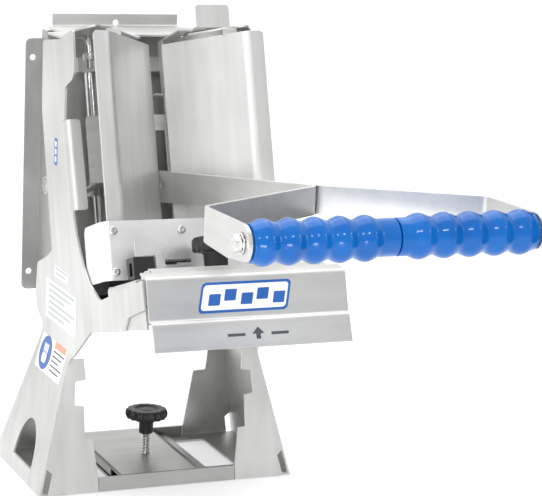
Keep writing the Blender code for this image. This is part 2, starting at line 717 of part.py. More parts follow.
def lever_outline():
    """Side view (Y, Z): rounded pivot end, tapering blade, yoke and tapered end tab."""
    pivot = Vector((PIVOT.y, PIVOT.z))
    radius = 0.0165
    start = math.radians(97)
    eye = [pivot + radius * Vector((math.cos(start - math.pi * i / 8),
                                    math.sin(start - math.pi * i / 8))) for i in range(9)]
    handle = Vector((HANDLE_Y, HANDLE_Z))
    tip = [handle + 0.0140 * Vector((math.cos(a), math.sin(a)))
           for a in [math.radians(85 + 155 * i / 7) for i in range(8)]]
    lower = [(-0.4660, 0.3135), (-0.4264, 0.3150), (-0.3569, 0.3203)]
    upper = [(-0.4180, 0.3418), (-0.3550, 0.3430)]
    outline = eye + lower[::-1] + tip[::-1] + upper
    return [tuple(p) for p in outline]


def lever_plate(name, side):
    """One half of the lever: straight blade, bent-out yoke arm and end tab."""
    middle = GAP / 2 + LEVER_SHEET / 2
    path = [(middle, 0.135), (middle, -0.3560), (YOKE_X, YOKE_Y), (YOKE_X, -0.512)]
    plate = slab(name, [fold_outline(mirrored(path, side), LEVER_SHEET, 0.009, 5)], 0.16,
                 frame((0, 0, 0.30), X_AXIS, Y_AXIS))
    silhouette = slab(f"{name}_silhouette", [lever_outline()], 0.13, side_frame(side * 0.062),
                      None, guide=True)
    slot = slab(f"{name}_drive", [drive_slot(0.0045)], 0.03, side_frame(0.0), None, True)
    v0, v1, w = LATCH_FINGER
    spot = to_rest((v0 + v1) / 2, w, LEVER_SWING)
    latch_hole = slab(f"{name}_latch", [circle(spot, 0.0076)], 0.03, side_frame(0.0), None, True)
    eye = hole(f"{name}_eye", PIVOT - X_AXIS * 0.02, PIVOT + X_AXIS * 0.02, 0.0087, 24)
    bolt = hole(f"{name}_bolt", (side * 0.10, HANDLE_Y, HANDLE_Z),
                (side * 0.13, HANDLE_Y, HANDLE_Z), 0.0044, 12)
    return cut(keep_inside(plate, silhouette), slot, latch_hole, eye, bolt)


GRIP_LENGTH = 0.1140
GRIP_CREST, GRIP_VALLEY, GRIP_BORE = 0.0172, 0.0142, 0.0103
GRIP_COLLARS = {"left": 0.0125, "right": 0.0020}
BUMPS = 5


def grip(name, side, collar):
    """Ribbed sleeve on one half of the handle tube, with a plain collar at its inner end."""
    start = 0.0006
    rows = 5 * BUMPS
    outer = []
    for row in range(rows + 1):
        t = row / rows
        swell = abs(math.sin(math.pi * BUMPS * t)) ** 0.75
        radius = GRIP_VALLEY + (GRIP_CREST - GRIP_VALLEY) * swell
        outer.append((radius, start + GRIP_LENGTH - (GRIP_LENGTH - collar) * t))
    outer.append((GRIP_VALLEY, start))
    bore = [(GRIP_BORE, start), (GRIP_BORE, start + GRIP_LENGTH)]
    place = along(X_AXIS * side, (0, HANDLE_Y, HANDLE_Z))
    return turned(name, outer + bore, place, BLUE, 20, closed=True)


def handle_parts():
    end = YOKE_X - LEVER_SHEET / 2 - GAP
    centre = Vector((0, HANDLE_Y, HANDLE_Z))
    parts = [ring("handle_tube", 0.0050, GRIP_BORE - GAP, centre - X_AXIS * end,
                  centre + X_AXIS * end, BRIGHT)]
    for name, side in SIDES:
        parts.append(grip(f"grip_{name}", side, GRIP_COLLARS[name]))
        outside = YOKE_X + LEVER_SHEET / 2 + GAP
        washer = ring(f"handle_washer_{name}", 0.0043, 0.0082, centre + X_AXIS * side * outside,
                      centre + X_AXIS * side * (outside + 0.0012), BRIGHT)
        head = outside + 0.0012 + GAP
        bolt = rod(f"handle_bolt_{name}", centre + X_AXIS * side * head,
                   centre + X_AXIS * side * (head + 0.0048), 0.0068, BRIGHT, 6)
        shank = rod(f"handle_bolt_shank_{name}", centre + X_AXIS * side * (end - 0.022),
                    centre + X_AXIS * side * (head + 0.002), 0.0039, None, 14, guide=True)
        unite(bolt, shank)
        parts += [washer, bolt]
    return parts


def pivot_parts():
    """Fixed shaft across the bracket, its two end collars and the spacer tubes by the lever."""
    reach = BOX_X + 0.004
    rod("pivot_shaft", PIVOT - X_AXIS * reach, PIVOT + X_AXIS * reach, 0.0060)
    for name, side in SIDES:
        ring(f"pivot_spacer_{name}", 0.0063, 0.0100, PIVOT + X_AXIS * side * 0.0048,
             PIVOT + X_AXIS * side * (BOX_X - SHEET - GAP), BRIGHT)
        ring(f"pivot_collar_{name}", 0.0063, 0.0095, PIVOT + X_AXIS * side * (BOX_X + GAP),
             PIVOT + X_AXIS * side * (reach - 0.0005), BRIGHT)
    bush = ring("lever_bush", 0.0063, 0.0084, PIVOT - X_AXIS * 0.0044, PIVOT + X_AXIS * 0.0044,
                WHITE)
    return bush


# Pusher -------------------------------------------------------------------------------------
CARRIAGE_W = 0.2715             # middle of the carriage plate
SKIRT_X = 0.0700                # half width of the carriage's front skirt
SKIRT_TOP_W = 0.3340
PUSHER_W = (0.1680, 0.1905)     # block, from the tips of its fingers' plate to its top
FINGER_TIP_W = 0.1535


def pusher_carriage():
    """Carriage astride the lever: slotted front skirt, two level shelves and two pin cheeks."""
    shelf_low = CARRIAGE_W - SHEET / 2
    skirt = [(-SKIRT_X, shelf_low), (-0.0085, shelf_low), (-0.0085, 0.3190), (0.0085, 0.3190),
             (0.0085, shelf_low), (SKIRT_X, shelf_low), (SKIRT_X, SKIRT_TOP_W),
             (-SKIRT_X, SKIRT_TOP_W)]
    carriage = slab("pusher_carriage", [rounded(skirt, {6: 0.006, 7: 0.006})], SHEET,
                    face_frame(0.0910))
    pin_w = drive_pin_w(0.0)
    for name, side in SIDES:
        shelf = [mirrored(rectangle(0.0085, 0.0600, 0.0120, 0.0915), side),
                 circle((side * ROD_X, ROD_V), 0.0077, 16)]
        plate = slab(f"carriage_shelf_{name}", shelf, SHEET, deck_frame(CARRIAGE_W), None, True)
        cheek = rounded([(0.0380, 0.2585), (0.0700, 0.2585), (0.0700, 0.2740), (0.0620, 0.2835),
                         (0.0460, 0.2835), (0.0380, 0.2740)], 0.003, 2)
        cheek_x = side * (0.0085 + SHEET / 2 - 0.0005)
        wall = slab(f"carriage_cheek_{name}", [cheek], SHEET, side_vw_frame(cheek_x), None, True)
        unite(carriage, plate, wall)
    pin = hole("carriage_pin", vw(DRIVE_V, pin_w, -0.02), vw(DRIVE_V, pin_w, 0.02), 0.0043, 16)
    return cut(carriage, pin)


def drive_pin():
    pin_w = drive_pin_w(0.0)
    return rod("drive_pin", vw(DRIVE_V, pin_w, -0.0140), vw(DRIVE_V, pin_w, 0.0140), 0.0040)


def guide_bush(name, side):
    """Flanged nylon bush in the carriage plate, running on a guide rod."""
    bore = ROD_R + GAP
    profile = [(0.0074, 0.0125), (0.0074, 0.0), (0.0100, 0.0), (0.0100, -0.0030),
               (bore, -0.0030), (bore, 0.0125)]
    base = CARRIAGE_W - SHEET / 2 - GAP
    return turned(name, profile, along(W_AXIS, vw(ROD_V, base, side * ROD_X)), WHITE, 18,
                  closed=True)


def standoff(name, x, v):
    """Rod with a hex shoulder that carries the pusher block under the carriage."""
    post = rod(name, vw(v, PUSHER_W[1] + GAP, x), vw(v, 0.2655, x), 0.0035, BRIGHT, 14)
    nut = rod(f"{name}_nut", vw(v, 0.2640, x), vw(v, CARRIAGE_W - SHEET / 2 - GAP, x), 0.0060,
              None, 6, guide=True)
    return unite(post, nut)


def blade_lines(low, high, count):
    middle = (low + high) / 2
    return [middle + (i - (count - 1) / 2) * BLADE_PITCH for i in range(count)]


GRID_X = (-0.0635, 0.0635)
GRID_V = (0.0310, 0.0990)
BLADES_ACROSS = blade_lines(*GRID_X, 9)
BLADES_ALONG = blade_lines(*GRID_V, 4)


def pusher_block():
    """Plastic block whose fingers line up with the squares between the blades."""
    block = slab("pusher_block", [rounded(rectangle(-PUSHER_X, PUSHER_X, *PUSHER_V), 0.003)],
                 PUSHER_W[1] - PUSHER_W[0], deck_frame(sum(PUSHER_W) / 2), BLACK)
    half = BLADE_PITCH / 2 - 0.0010
    fingers = []
    for x in BLADES_ACROSS[:-1]:
        for v in BLADES_ALONG[:-1]:
            cx, cv = x + BLADE_PITCH / 2, v + BLADE_PITCH / 2
            fingers.append(rectangle(cx - half, cx + half, cv - half, cv + half))
    tips = slab("pusher_fingers", fingers, PUSHER_W[0] + 0.002 - FINGER_TIP_W,
                deck_frame((PUSHER_W[0] + 0.002 + FINGER_TIP_W) / 2), None, guide=True)
    return unite(block, tips)


# Blade cartridge ----------------------------------------------------------------------------
def cartridge_frame():
    window = rectangle(GRID_X[0] - 0.001, GRID_X[1] + 0.001, GRID_V[0] - 0.001, GRID_V[1] + 0.001)
    outer = rounded(rectangle(-CARTRIDGE_X, CARTRIDGE_X, *CARTRIDGE_V), 0.004)
    relief = rounded(rectangle(-0.0600, 0.0600, 0.1120, 0.1600), 0.006)
    height = CARTRIDGE_W[1] - CARTRIDGE_W[0]
    return slab("cartridge_frame", [outer, window, relief], height,
                deck_frame(sum(CARTRIDGE_W) / 2), BLACK)


def blade_grid():
    """Crossed blades, one welded grid, dropped into the cartridge's window."""
    low, high = CARTRIDGE_W[0] + 0.001, CARTRIDGE_W[1] - 0.0012
    squares = []
    x_lines = [GRID_X[0]] + BLADES_ACROSS[1:-1] + [GRID_X[1]]
    v_lines = [GRID_V[0]] + BLADES_ALONG + [GRID_V[1]]
    for x0, x1 in zip(x_lines, x_lines[1:]):
        for v0, v1 in zip(v_lines, v_lines[1:]):
            squares.append(rectangle(x0 + BLADE / 2, x1 - BLADE / 2, v0 + BLADE / 2, v1 - BLADE / 2))
    outer = rectangle(GRID_X[0] - BLADE / 2, GRID_X[1] + BLADE / 2, GRID_V[0] - BLADE / 2,
                      GRID_V[1] + BLADE / 2)
    return slab("blade_grid", [outer, *squares], high - low, deck_frame((low + high) / 2), BRIGHT)


# Lift guard, latches and knobs --------------------------------------------------------------
GUARD_LIFT_X = 0.0915


def lift_guard():
    """Front cover folded from one sheet: top flange, face, joggle and flap."""
    path = [(0.2625, 0.1722), (0.2862, 0.1622), (0.2862, 0.1262), (0.2900, 0.1233),
            (0.2920, 0.1000)]
    cover = slab("lift_guard", [fold_outline(path, radius=0.005)], 2 * GUARD_LIFT_X,
                 side_vw_frame(0.0))
    for name, side in SIDES:
        top_trim = box(f"guard_trim_{name}", (side * 0.0870 - 0.0065, 0.150, -0.03),
                       (0.013, 0.03, 0.0425), face_frame(0.260), None, guide=True)
        step = box(f"guard_step_{name}", (side * 0.0920 - 0.0015, 0.0960, -0.02),
                   (0.003, 0.0290, 0.04), face_frame(0.285), None, guide=True)
        cut(cover, top_trim, step)
        ear = [(0.2612, 0.1716), (0.2612, 0.1660), (0.2640, 0.1640), (0.2670, 0.1660),
               (0.2720, 0.1678)]
        tab = slab(f"guard_ear_{name}", [ear], SHEET, side_vw_frame(side * 0.0780), None, True)
        pin = hole(f"guard_pin_{name}", vw(HINGE_V, HINGE_W, side * 0.070),
                   vw(HINGE_V, HINGE_W, side * 0.0800), 0.0024, 12)
        unite(cover, tab)
        cut(cover, pin)
    return cover


def handle_latch():
    """Slide on the cap: upright finger tab, plate and a hook that reaches into the lever."""
    top = CAP_W + SHEET / 2 + GAP
    plate_w = top + 0.00075
    plan = rounded([(0.0170, 0.0700), (0.0290, 0.0700), (0.0290, 0.1010), (0.0780, 0.1010),
                    (0.0780, 0.1240), (0.0630, 0.1240), (0.0630, LATCH_TAB_V),
                    (0.0300, LATCH_TAB_V), (0.0300, 0.1240), (0.0170, 0.1240)],
                   {3: 0.002, 4: 0.003})
    slots = []
    for x in LATCH_SCREWS:
        slots.append(rounded(rectangle(x - 0.0027, x + LATCH_STEP + 0.0027, 0.1120, 0.1174),
                             0.0026))
    plate = slab("handle_latch", [plan, *slots], 0.0015, deck_frame(plate_w))
    tab = slab("latch_tab", [rounded(rectangle(0.0300, 0.0630, top, top + 0.0215),
                                     {2: 0.003, 3: 0.003})],
               0.0015, face_frame(LATCH_TAB_V - 0.00075), None, guide=True)
    v0, v1, w = LATCH_FINGER
    arm_path = [(0.0065, w), (0.0178, w), (0.0178, top + 0.0010)]
    arm = slab("latch_arm", [fold_outline(arm_path, 0.0015, 0.003, 3)], v1 - v0,
               face_frame((v0 + v1) / 2), None, guide=True)
    bridge = box("latch_bridge", (0.0171, v0, -top - 0.0013), (0.010, 0.008, 0.0011),
                 deck_frame(0.0), None, guide=True)
    return unite(plate, tab, arm, bridge)


def latch_screw(name, x):
    """Shoulder screw in the latch's slot, seated on the cap."""
    top = CAP_W + SHEET / 2 + GAP / 2
    head = top + 0.0015 + 2 * GAP
    profile = [(0.0, head + 0.0016 - top), (0.0034, head + 0.0012 - top), (0.0040, head - top),
               (0.0023, head - top), (0.0023, 0.0), (0.0, 0.0)]
    return turned(name, profile, along(W_AXIS, vw(0.1147, top, x)), BRIGHT, 14)


def lobed(radius, depth, lobes, points_per_lobe=6):
    """Outline of a fluted knob: a circle whose radius dips by depth between the lobes."""
    outline = []
    count = lobes * points_per_lobe
    for i in range(count):
        a = 2 * math.pi * (i + 0.15) / count
        r = radius - depth * (0.5 - 0.5 * math.cos(lobes * a))
        outline.append((r * math.cos(a), r * math.sin(a)))
    return outline


def knob(name, stud_name, place, axis, hub, head, stud, flutes):
    """Fluted knob with its hub below the head, and the threaded stud moulded into it.

    hub and stud are (length, radius); flutes is (count, depth).
    """
    hub_length, hub_radius = hub
    stud_length, stud_radius = stud
    lift = Matrix.Translation((0, 0, hub_length + head / 2))
    outline = lobed(KNOB_R, flutes[1], flutes[0])
    grip_part = slab(name, [outline], head, along(axis, place) @ lift, BLACK)
    hub_part = rod(f"{name}_hub", place, place + axis * (hub_length + 0.0061), hub_radius,
                   None, 24, True)
    top = place + axis * (hub_length + head)
    dish = rod(f"{name}_dish", top - axis * 0.0015, top + axis * 0.005, 0.0110, None, 26, True)
    bore = hole(name, place - axis * 0.002, top - axis * 0.0045, stud_radius + 0.0004, 18)
    cut(unite(grip_part, hub_part), dish, bore)
    stud_part = rod(stud_name, place - axis * stud_length, place + axis * (hub_length + 0.005),
                    stud_radius, BRIGHT, 14)
    return [grip_part, stud_part]


def nut(name, place, axis, height, across, bore):
    """Hex nut; across is its width over the corners."""
    body = rod(name, place, place + axis * height, across / 2, BRIGHT, 6)
    return cut(body, hole(name, place - axis * 0.002, place + axis * (height + 0.002), bore))


def cartridge_latch():
    """Plastic latch block with a finger slot in its side and a pin through the deck."""
    block = box("cartridge_latch", (-0.0700, 0.1700, FRONT_V + GAP), (0.0195, 0.0200, 0.0184),
                frame((0, 0, 0), X_AXIS, W_AXIS), BLACK)
    slot = box("latch_block_slot", (-0.0750, 0.1735, 0.1845), (0.0110, 0.0115, 0.0070),
               frame((0, 0, 0), X_AXIS, W_AXIS), None, guide=True)
    pin = rod("latch_block_pin", vw(0.188, 0.1545, -0.060), vw(0.188, 0.1720, -0.060), 0.0030,
              None, 12, guide=True)
    return unite(cut(block, slot), pin)


def guide_rods():
    """Two guide rods and the bars that hold their ends to the back plate."""
    for name, side in SIDES:
        rod(f"guide_rod_{name}", vw(ROD_V, 0.2050, side * ROD_X),
            vw(ROD_V, 0.4010, side * ROD_X), ROD_R)
    for name, low in (("lower", 0.2000), ("upper", 0.3880)):
        bar = box(f"rod_bar_{name}", (-0.0520, low, BACK_V + GAP), (0.1040, 0.0140, 0.0180),
                  frame((0, 0, 0), X_AXIS, W_AXIS), STEEL)
        for side_name, side in SIDES:
            cut(bar, hole(f"rod_bar_{name}_{side_name}", vw(ROD_V, low - 0.01, side * ROD_X),
                          vw(ROD_V, low + 0.03, side * ROD_X), ROD_R + GAP, 20))


# Assembly -----------------------------------------------------------------------------------
stand_base()
hold_down_plate()
for side_name, side_sign in SIDES:
    side_panel(f"side_panel_{side_name}", side_sign)
    guard(f"guard_{side_name}", side_sign)
    cartridge_rail(f"cartridge_rail_{side_name}", side_sign)
wall_bracket()
top_cap()
cap_stud()
front_plate()
latch_bracket()
for screw_name, screw_x, screw_w in FRONT_SCREWS:
    front_screw(f"front_screw_{screw_name}", screw_x, screw_w)
deck()
roller()
guide_rods()
lever_bush = pivot_parts()

lever = [lever_plate(f"lever_plate_{n}", s) for n, s in SIDES] + handle_parts() + [lever_bush]
hang_on("lever_axis", PIVOT, lever)

pusher = [pusher_carriage(), drive_pin(), pusher_block()]
pusher += [guide_bush(f"guide_bush_{n}", s) for n, s in SIDES]
for depth_name, post_v in (("rear", 0.045), ("front", 0.084)):
    for side_name, side_sign in SIDES:
        pusher.append(standoff(f"standoff_{depth_name}_{side_name}", side_sign * 0.048, post_v))
hang_on("pusher_axis", vw(DRIVE_V, drive_pin_w(0.0)), pusher)

hang_on("cartridge_axis", vw(0.065, CARTRIDGE_W[0]), [cartridge_frame(), blade_grid()])
hang_on("lift_guard_axis", vw(HINGE_V, HINGE_W), [lift_guard()])
rod("lift_guard_pin", vw(HINGE_V, HINGE_W, -0.0850), vw(HINGE_V, HINGE_W, 0.0850), 0.0021,
    BRIGHT, 12)
hang_on("handle_latch_axis", vw(0.1147, CAP_W), [handle_latch()])
for screw_name, screw_x in zip(("inner", "outer"), LATCH_SCREWS):
    latch_screw(f"latch_screw_{screw_name}", screw_x)
hang_on("cartridge_latch_axis", vw(0.188, 0.170, -0.060), [cartridge_latch()])

clamp_place = vw(CLAMP_V, 0.1678)
clamp = knob("clamp_knob", "clamp_stud", clamp_place, W_AXIS, (0.0215, 0.0105), 0.0140,
             (0.0125, 0.0030), (12, 0.0030))
hang_on("clamp_knob_axis", clamp_place, clamp)
nut("clamp_nut", vw(CLAMP_V, 0.1560), W_AXIS, DECK_W - SHEET / 2 - GAP - 0.1560, 0.0130, 0.0033)
hold_place = Vector((0, BASE_KNOB_Y, 0.0338))
hold = knob("hold_down_knob", "hold_down_stud", hold_place, Z_AXIS, (0.0145, 0.0070), 0.0100,
            (0.0323, 0.0040), (16, 0.0020))
hang_on("hold_down_axis", hold_place, hold)
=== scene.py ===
"""Looks of the lever-operated produce dicer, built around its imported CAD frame.

Row frame: +X is the machine's right seen from its front, +Y goes back to the wall, +Z is up.
The chamber leans back, so much is placed by v (out of its front face) and w (up along it).
All lengths are in metres.
"""
import json
import math

import bmesh
import bpy
from mathutils import Matrix, Vector


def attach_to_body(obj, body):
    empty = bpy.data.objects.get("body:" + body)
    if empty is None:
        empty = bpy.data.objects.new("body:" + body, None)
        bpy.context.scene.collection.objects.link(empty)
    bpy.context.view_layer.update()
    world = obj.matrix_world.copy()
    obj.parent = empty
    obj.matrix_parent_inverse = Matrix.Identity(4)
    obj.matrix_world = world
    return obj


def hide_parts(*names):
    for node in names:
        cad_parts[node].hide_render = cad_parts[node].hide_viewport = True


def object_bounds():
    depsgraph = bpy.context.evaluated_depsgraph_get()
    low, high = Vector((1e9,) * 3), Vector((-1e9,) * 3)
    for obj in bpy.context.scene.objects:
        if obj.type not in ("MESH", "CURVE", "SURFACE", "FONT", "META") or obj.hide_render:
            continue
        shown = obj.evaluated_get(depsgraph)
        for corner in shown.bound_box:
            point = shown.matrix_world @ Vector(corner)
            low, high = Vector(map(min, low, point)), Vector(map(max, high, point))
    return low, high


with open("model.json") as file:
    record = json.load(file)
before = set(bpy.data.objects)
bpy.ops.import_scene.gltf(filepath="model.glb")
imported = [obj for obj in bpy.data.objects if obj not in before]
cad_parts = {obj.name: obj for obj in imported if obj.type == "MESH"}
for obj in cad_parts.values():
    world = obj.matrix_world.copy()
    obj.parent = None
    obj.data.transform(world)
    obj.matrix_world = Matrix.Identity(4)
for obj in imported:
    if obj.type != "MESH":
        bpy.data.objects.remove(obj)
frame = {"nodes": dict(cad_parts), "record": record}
CAD_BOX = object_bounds()
NODES = frame["nodes"]
BODY_OF = {node: body for body, nodes in frame["record"]["behaviour"]["bodies"].items()
           for node in nodes}
SLOT_OF = {row["node"]: row["material_slot"] for row in frame["record"]["subparts"]}

TILT = math.radians(18.0)       # how far the chamber leans back
SIN, COS = math.sin(TILT), math.cos(TILT)
X_AXIS = Vector((1.0, 0.0, 0.0))
Y_AXIS = Vector((0.0, 1.0, 0.0))
Z_AXIS = Vector((0.0, 0.0, 1.0))
V_AXIS = Vector((0.0, -COS, SIN))
W_AXIS = Vector((0.0, SIN, COS))
SIDES = (("left", -1.0), ("right", 1.0))

HANDLE_Y, HANDLE_Z = -0.4916, 0.3290            # centre line of the handle tube
PANEL_X = 0.0935                # outer face of the side panels
FOOT_X, FLARE_Z = 0.1270, 0.1300                # a leg's foot, and the height where it flares


def vw(v, w, x=0.0):
    return X_AXIS * x + V_AXIS * v + W_AXIS * w


# Materials ----------------------------------------------------------------------------------
class Material:
    """One material's node tree, with short ways to add nodes and join them."""

    def __init__(self, name):
        self.material = bpy.data.materials.new(name)
        self.material.use_nodes = True
        self.tree = self.material.node_tree
        self.shader = self.tree.nodes["Principled BSDF"]
        self.place = self.add("ShaderNodeTexCoord").outputs["Object"]

    def add(self, kind, **settings):
        node = self.tree.nodes.new(kind)
        for key, value in settings.items():
            setattr(node, key, value)
        return node

    def link(self, source, target):
        self.tree.links.new(source, target)

    def set(self, **values):
        for key, value in values.items():
            self.shader.inputs[key.replace("_", " ")].default_value = value

    def mapped(self, scale, rotation=(0.0, 0.0, 0.0)):
        """Object coordinates turned, then scaled: a small scale stretches the pattern."""
        turn = self.add("ShaderNodeMapping", vector_type="POINT")
        turn.inputs["Rotation"].default_value = rotation
        self.link(self.place, turn.inputs["Vector"])
        stretch = self.add("ShaderNodeMapping", vector_type="POINT")
        stretch.inputs["Scale"].default_value = scale
        self.link(turn.outputs["Vector"], stretch.inputs["Vector"])
        return stretch.outputs["Vector"]

    def noise(self, vector, scale=1.0, detail=3.0, roughness=0.55):
        made = self.add("ShaderNodeTexNoise")
        made.inputs["Scale"].default_value = scale
        made.inputs["Detail"].default_value = detail
        made.inputs["Roughness"].default_value = roughness
        self.link(vector, made.inputs["Vector"])
        return made.outputs["Fac"]

    def rough(self, source, low, high, start=0.3, end=0.7):
        """Roughness that goes from low to high over the middle of a noise's range."""
        made = self.add("ShaderNodeMapRange")
        made.inputs["From Min"].default_value = start
        made.inputs["From Max"].default_value = end
        made.inputs["To Min"].default_value = low
        made.inputs["To Max"].default_value = high
        self.link(source, made.inputs["Value"])
        self.link(made.outputs["Result"], self.shader.inputs["Roughness"])

    def tint(self, source, dark, light, start=0.3, end=0.7):
        """Colour that goes from dark to light over the middle of a noise's range."""
        ramp = self.add("ShaderNodeValToRGB")
        ramp.color_ramp.elements[0].position = start
        ramp.color_ramp.elements[1].position = end
        ramp.color_ramp.elements[0].color = (*dark, 1.0)
        ramp.color_ramp.elements[1].color = (*light, 1.0)
        self.link(source, ramp.inputs["Fac"])
        self.link(ramp.outputs["Color"], self.shader.inputs["Base Color"])

    def bump(self, source, distance, strength=1.0, before=None):
        made = self.add("ShaderNodeBump")
        made.inputs["Distance"].default_value = distance
        made.inputs["Strength"].default_value = strength
        self.link(source, made.inputs["Height"])
        if before is not None:
            self.link(before, made.inputs["Normal"])
        self.link(made.outputs["Normal"], self.shader.inputs["Normal"])
        return made.outputs["Normal"]


FINE, LONG = 1500.0, 18.0       # grain frequency across and along the brushing, per metre
BAND_FINE, BAND_LONG = 0.06, 0.4                # the broad bands' frequencies, as shares of those
BAND_WEIGHT = 0.55              # the bands' part in the colour, beside the slow clouds
GRAIN_DEPTH, WAVE_DEPTH = 0.00004, 0.0012       # the grain, and the slow waves of the sheet


def brushed(name, grain, dark, light, rough, turn=0.0):
    """Brushed stainless sheet whose grain runs along the given axis of the turned frame."""
    made = Material(name)
    scale = [LONG if axis == grain else FINE for axis in "xyz"]
    lines = made.noise(made.mapped(scale, (turn, 0.0, 0.0)), detail=2.0)
    broad = [LONG * BAND_LONG if axis == grain else FINE * BAND_FINE for axis in "xyz"]
    bands = made.noise(made.mapped(broad, (turn, 0.0, 0.0)), detail=2.0)
    cloud = made.noise(made.place, scale=9.0, detail=2.0)
    mixed = made.add("ShaderNodeMath", operation="MULTIPLY_ADD")
    made.link(bands, mixed.inputs[0])
    mixed.inputs[1].default_value = BAND_WEIGHT
    made.link(cloud, mixed.inputs[2])
    made.tint(mixed.outputs[0], dark, light, start=0.55, end=1.0)
    made.rough(lines, *rough)
    made.set(Metallic=1.0, Anisotropic=0.35)
    smooth = made.bump(lines, GRAIN_DEPTH, strength=0.35)
    made.bump(cloud, WAVE_DEPTH, strength=0.12, before=smooth)
    return made.material


def polished(name, dark, light, rough):
    """Turned and tumbled steel of screws, rods and pins."""
    made = Material(name)
    cloud = made.noise(made.place, scale=180.0)
    made.tint(cloud, dark, light)
    made.rough(cloud, *rough)
    made.set(Metallic=1.0)
    made.bump(made.noise(made.place, scale=1600.0), 0.00003, strength=0.3)
    return made.material


def moulded(name, dark, light, rough, grain_scale, grain_depth, **extra):
    """Moulded plastic: slow colour drift, faint surface grain."""
    made = Material(name)
    drift = made.noise(made.place, scale=22.0, detail=2.0)
    made.tint(drift, dark, light)
    made.rough(drift, *rough)
    made.bump(made.noise(made.place, scale=grain_scale, detail=4.0), grain_depth, strength=0.5)
    made.set(**extra)
    return made.material


def printed(name, dark, light, rough):
    """Film or ink of a label."""
    return moulded(name, dark, light, rough, grain_scale=600.0, grain_depth=0.00002)


SHEET_TONES = (0.58, 0.58, 0.57), (0.72, 0.72, 0.71)
# Darker copy of the sheet's tones: painted shade on the wall bracket inside the chamber, and on the
# stand base and hold-down plate.
SHADED_SHEET_TONES = (0.41, 0.41, 0.40), (0.50, 0.50, 0.49)
# Lighter copy of the sheet's tones: painted light on the front plate.
LIT_SHEET_TONES = (0.74, 0.74, 0.73), (0.88, 0.88, 0.87)
BLADE_TONES = (0.66, 0.66, 0.66), (0.82, 0.82, 0.82)
SCREW_TONES = (0.58, 0.58, 0.57), (0.78, 0.78, 0.77)
ROD_TONES = (0.66, 0.66, 0.66), (0.84, 0.84, 0.84)
ROUGH_UP, ROUGH_ALONG, ROUGH_BACK = (0.40, 0.54), (0.36, 0.50), (0.34, 0.48)

GRAIN_UP = brushed("sheet_grain_up", "z", *SHEET_TONES, ROUGH_UP, TILT)
GRAIN_ALONG = brushed("sheet_grain_along", "x", *SHEET_TONES, ROUGH_ALONG)
GRAIN_BACK = brushed("sheet_grain_back", "y", *SHEET_TONES, ROUGH_BACK)
# Painted shade: darker copies of the brushed sheet.
SHADED_UP = brushed("shaded_sheet_up", "z", *SHADED_SHEET_TONES, ROUGH_UP, TILT)
SHADED_ALONG = brushed("shaded_sheet_along", "x", *SHADED_SHEET_TONES, ROUGH_ALONG)
# Painted light: a lighter copy of the brushed sheet, for the front plate.
LIT_ALONG = brushed("lit_sheet_along", "x", *LIT_SHEET_TONES, ROUGH_ALONG)
CUT_STEEL = brushed("blade_steel", "x", *BLADE_TONES, rough=(0.10, 0.22))
FASTENER = polished("fastener_steel", *SCREW_TONES, rough=(0.16, 0.30))
ROD_STEEL = polished("rod_steel", *ROD_TONES, rough=(0.08, 0.18))
BLUE = moulded("blue_vinyl", (0.0, 0.098, 0.39), (0.0, 0.126, 0.47), rough=(0.12, 0.18),
               grain_scale=700.0, grain_depth=0.00003, Specular_IOR_Level=0.26,
               Coat_Weight=0.28, Coat_Roughness=0.03)
BLACK = moulded("black_plastic", (0.010, 0.010, 0.011), (0.022, 0.022, 0.023),
                rough=(0.34, 0.48), grain_scale=1400.0, grain_depth=0.00006)
NYLON = moulded("white_nylon", (0.70, 0.70, 0.67), (0.82, 0.82, 0.79), rough=(0.34, 0.46),
                grain_scale=900.0, grain_depth=0.00004, Subsurface_Weight=0.15,
                Subsurface_Scale=0.003)
LABEL = printed("label_film", (0.78, 0.79, 0.80), (0.86, 0.87, 0.88), (0.30, 0.42))
LABEL_BLUE = printed("label_blue", (0.012, 0.095, 0.36), (0.018, 0.12, 0.42), (0.28, 0.38))
LABEL_RED = printed("label_salmon", (0.78, 0.30, 0.20), (0.84, 0.36, 0.25), (0.30, 0.40))
LABEL_GREY = printed("label_grey", (0.66, 0.68, 0.68), (0.74, 0.76, 0.76), (0.30, 0.42))
LABEL_INK = printed("label_ink", (0.05, 0.055, 0.07), (0.08, 0.085, 0.10), (0.40, 0.50))
PALE_INK = printed("label_pale_ink", (0.40, 0.43, 0.45), (0.46, 0.49, 0.51), (0.40, 0.50))

# A node has its slot's material unless it is listed under another one.
SLOT_MATERIALS = {"brushed_sheet": GRAIN_UP, "bright_steel": FASTENER, "blue_grip": BLUE,
                  "black_plastic": BLACK, "white_nylon": NYLON}
OWN_MATERIALS = (
    (GRAIN_ALONG, ("top_cap", "deck", "lift_guard", "latch_bracket", "pusher_carriage")),
    (GRAIN_BACK, ("lever_plate_left", "lever_plate_right",
                  "cartridge_rail_left", "cartridge_rail_right")),
    # Painted shade: these parts get the darker copy of the sheet.
    (SHADED_UP, ("wall_bracket",)),
    (SHADED_ALONG, ("stand_base", "hold_down_plate")),
    # Painted light: the front plate gets the lighter copy of the sheet.
    (LIT_ALONG, ("front_plate",)),
    (CUT_STEEL, ("blade_grid",)),
    (ROD_STEEL, ("guide_rod_left", "guide_rod_right", "pivot_shaft", "handle_tube")))
NODE_MATERIALS = {node: material for material, nodes in OWN_MATERIALS for node in nodes}


def material_of(node):
    return NODE_MATERIALS.get(node, SLOT_MATERIALS[SLOT_OF[node]])


# Mesh helpers -------------------------------------------------------------------------------
def new_object(name, mesh, material):
    mesh.materials.clear()
    mesh.materials.append(material)
    obj = bpy.data.objects.new(name, mesh)
    bpy.context.scene.collection.objects.link(obj)
    return obj


def shade(mesh, sharp=32.0):
    """Smooth shading, with edges kept sharp where faces meet at more than that many degrees."""
    mesh.shade_smooth()
    mesh.set_sharp_from_angle(angle=math.radians(sharp))


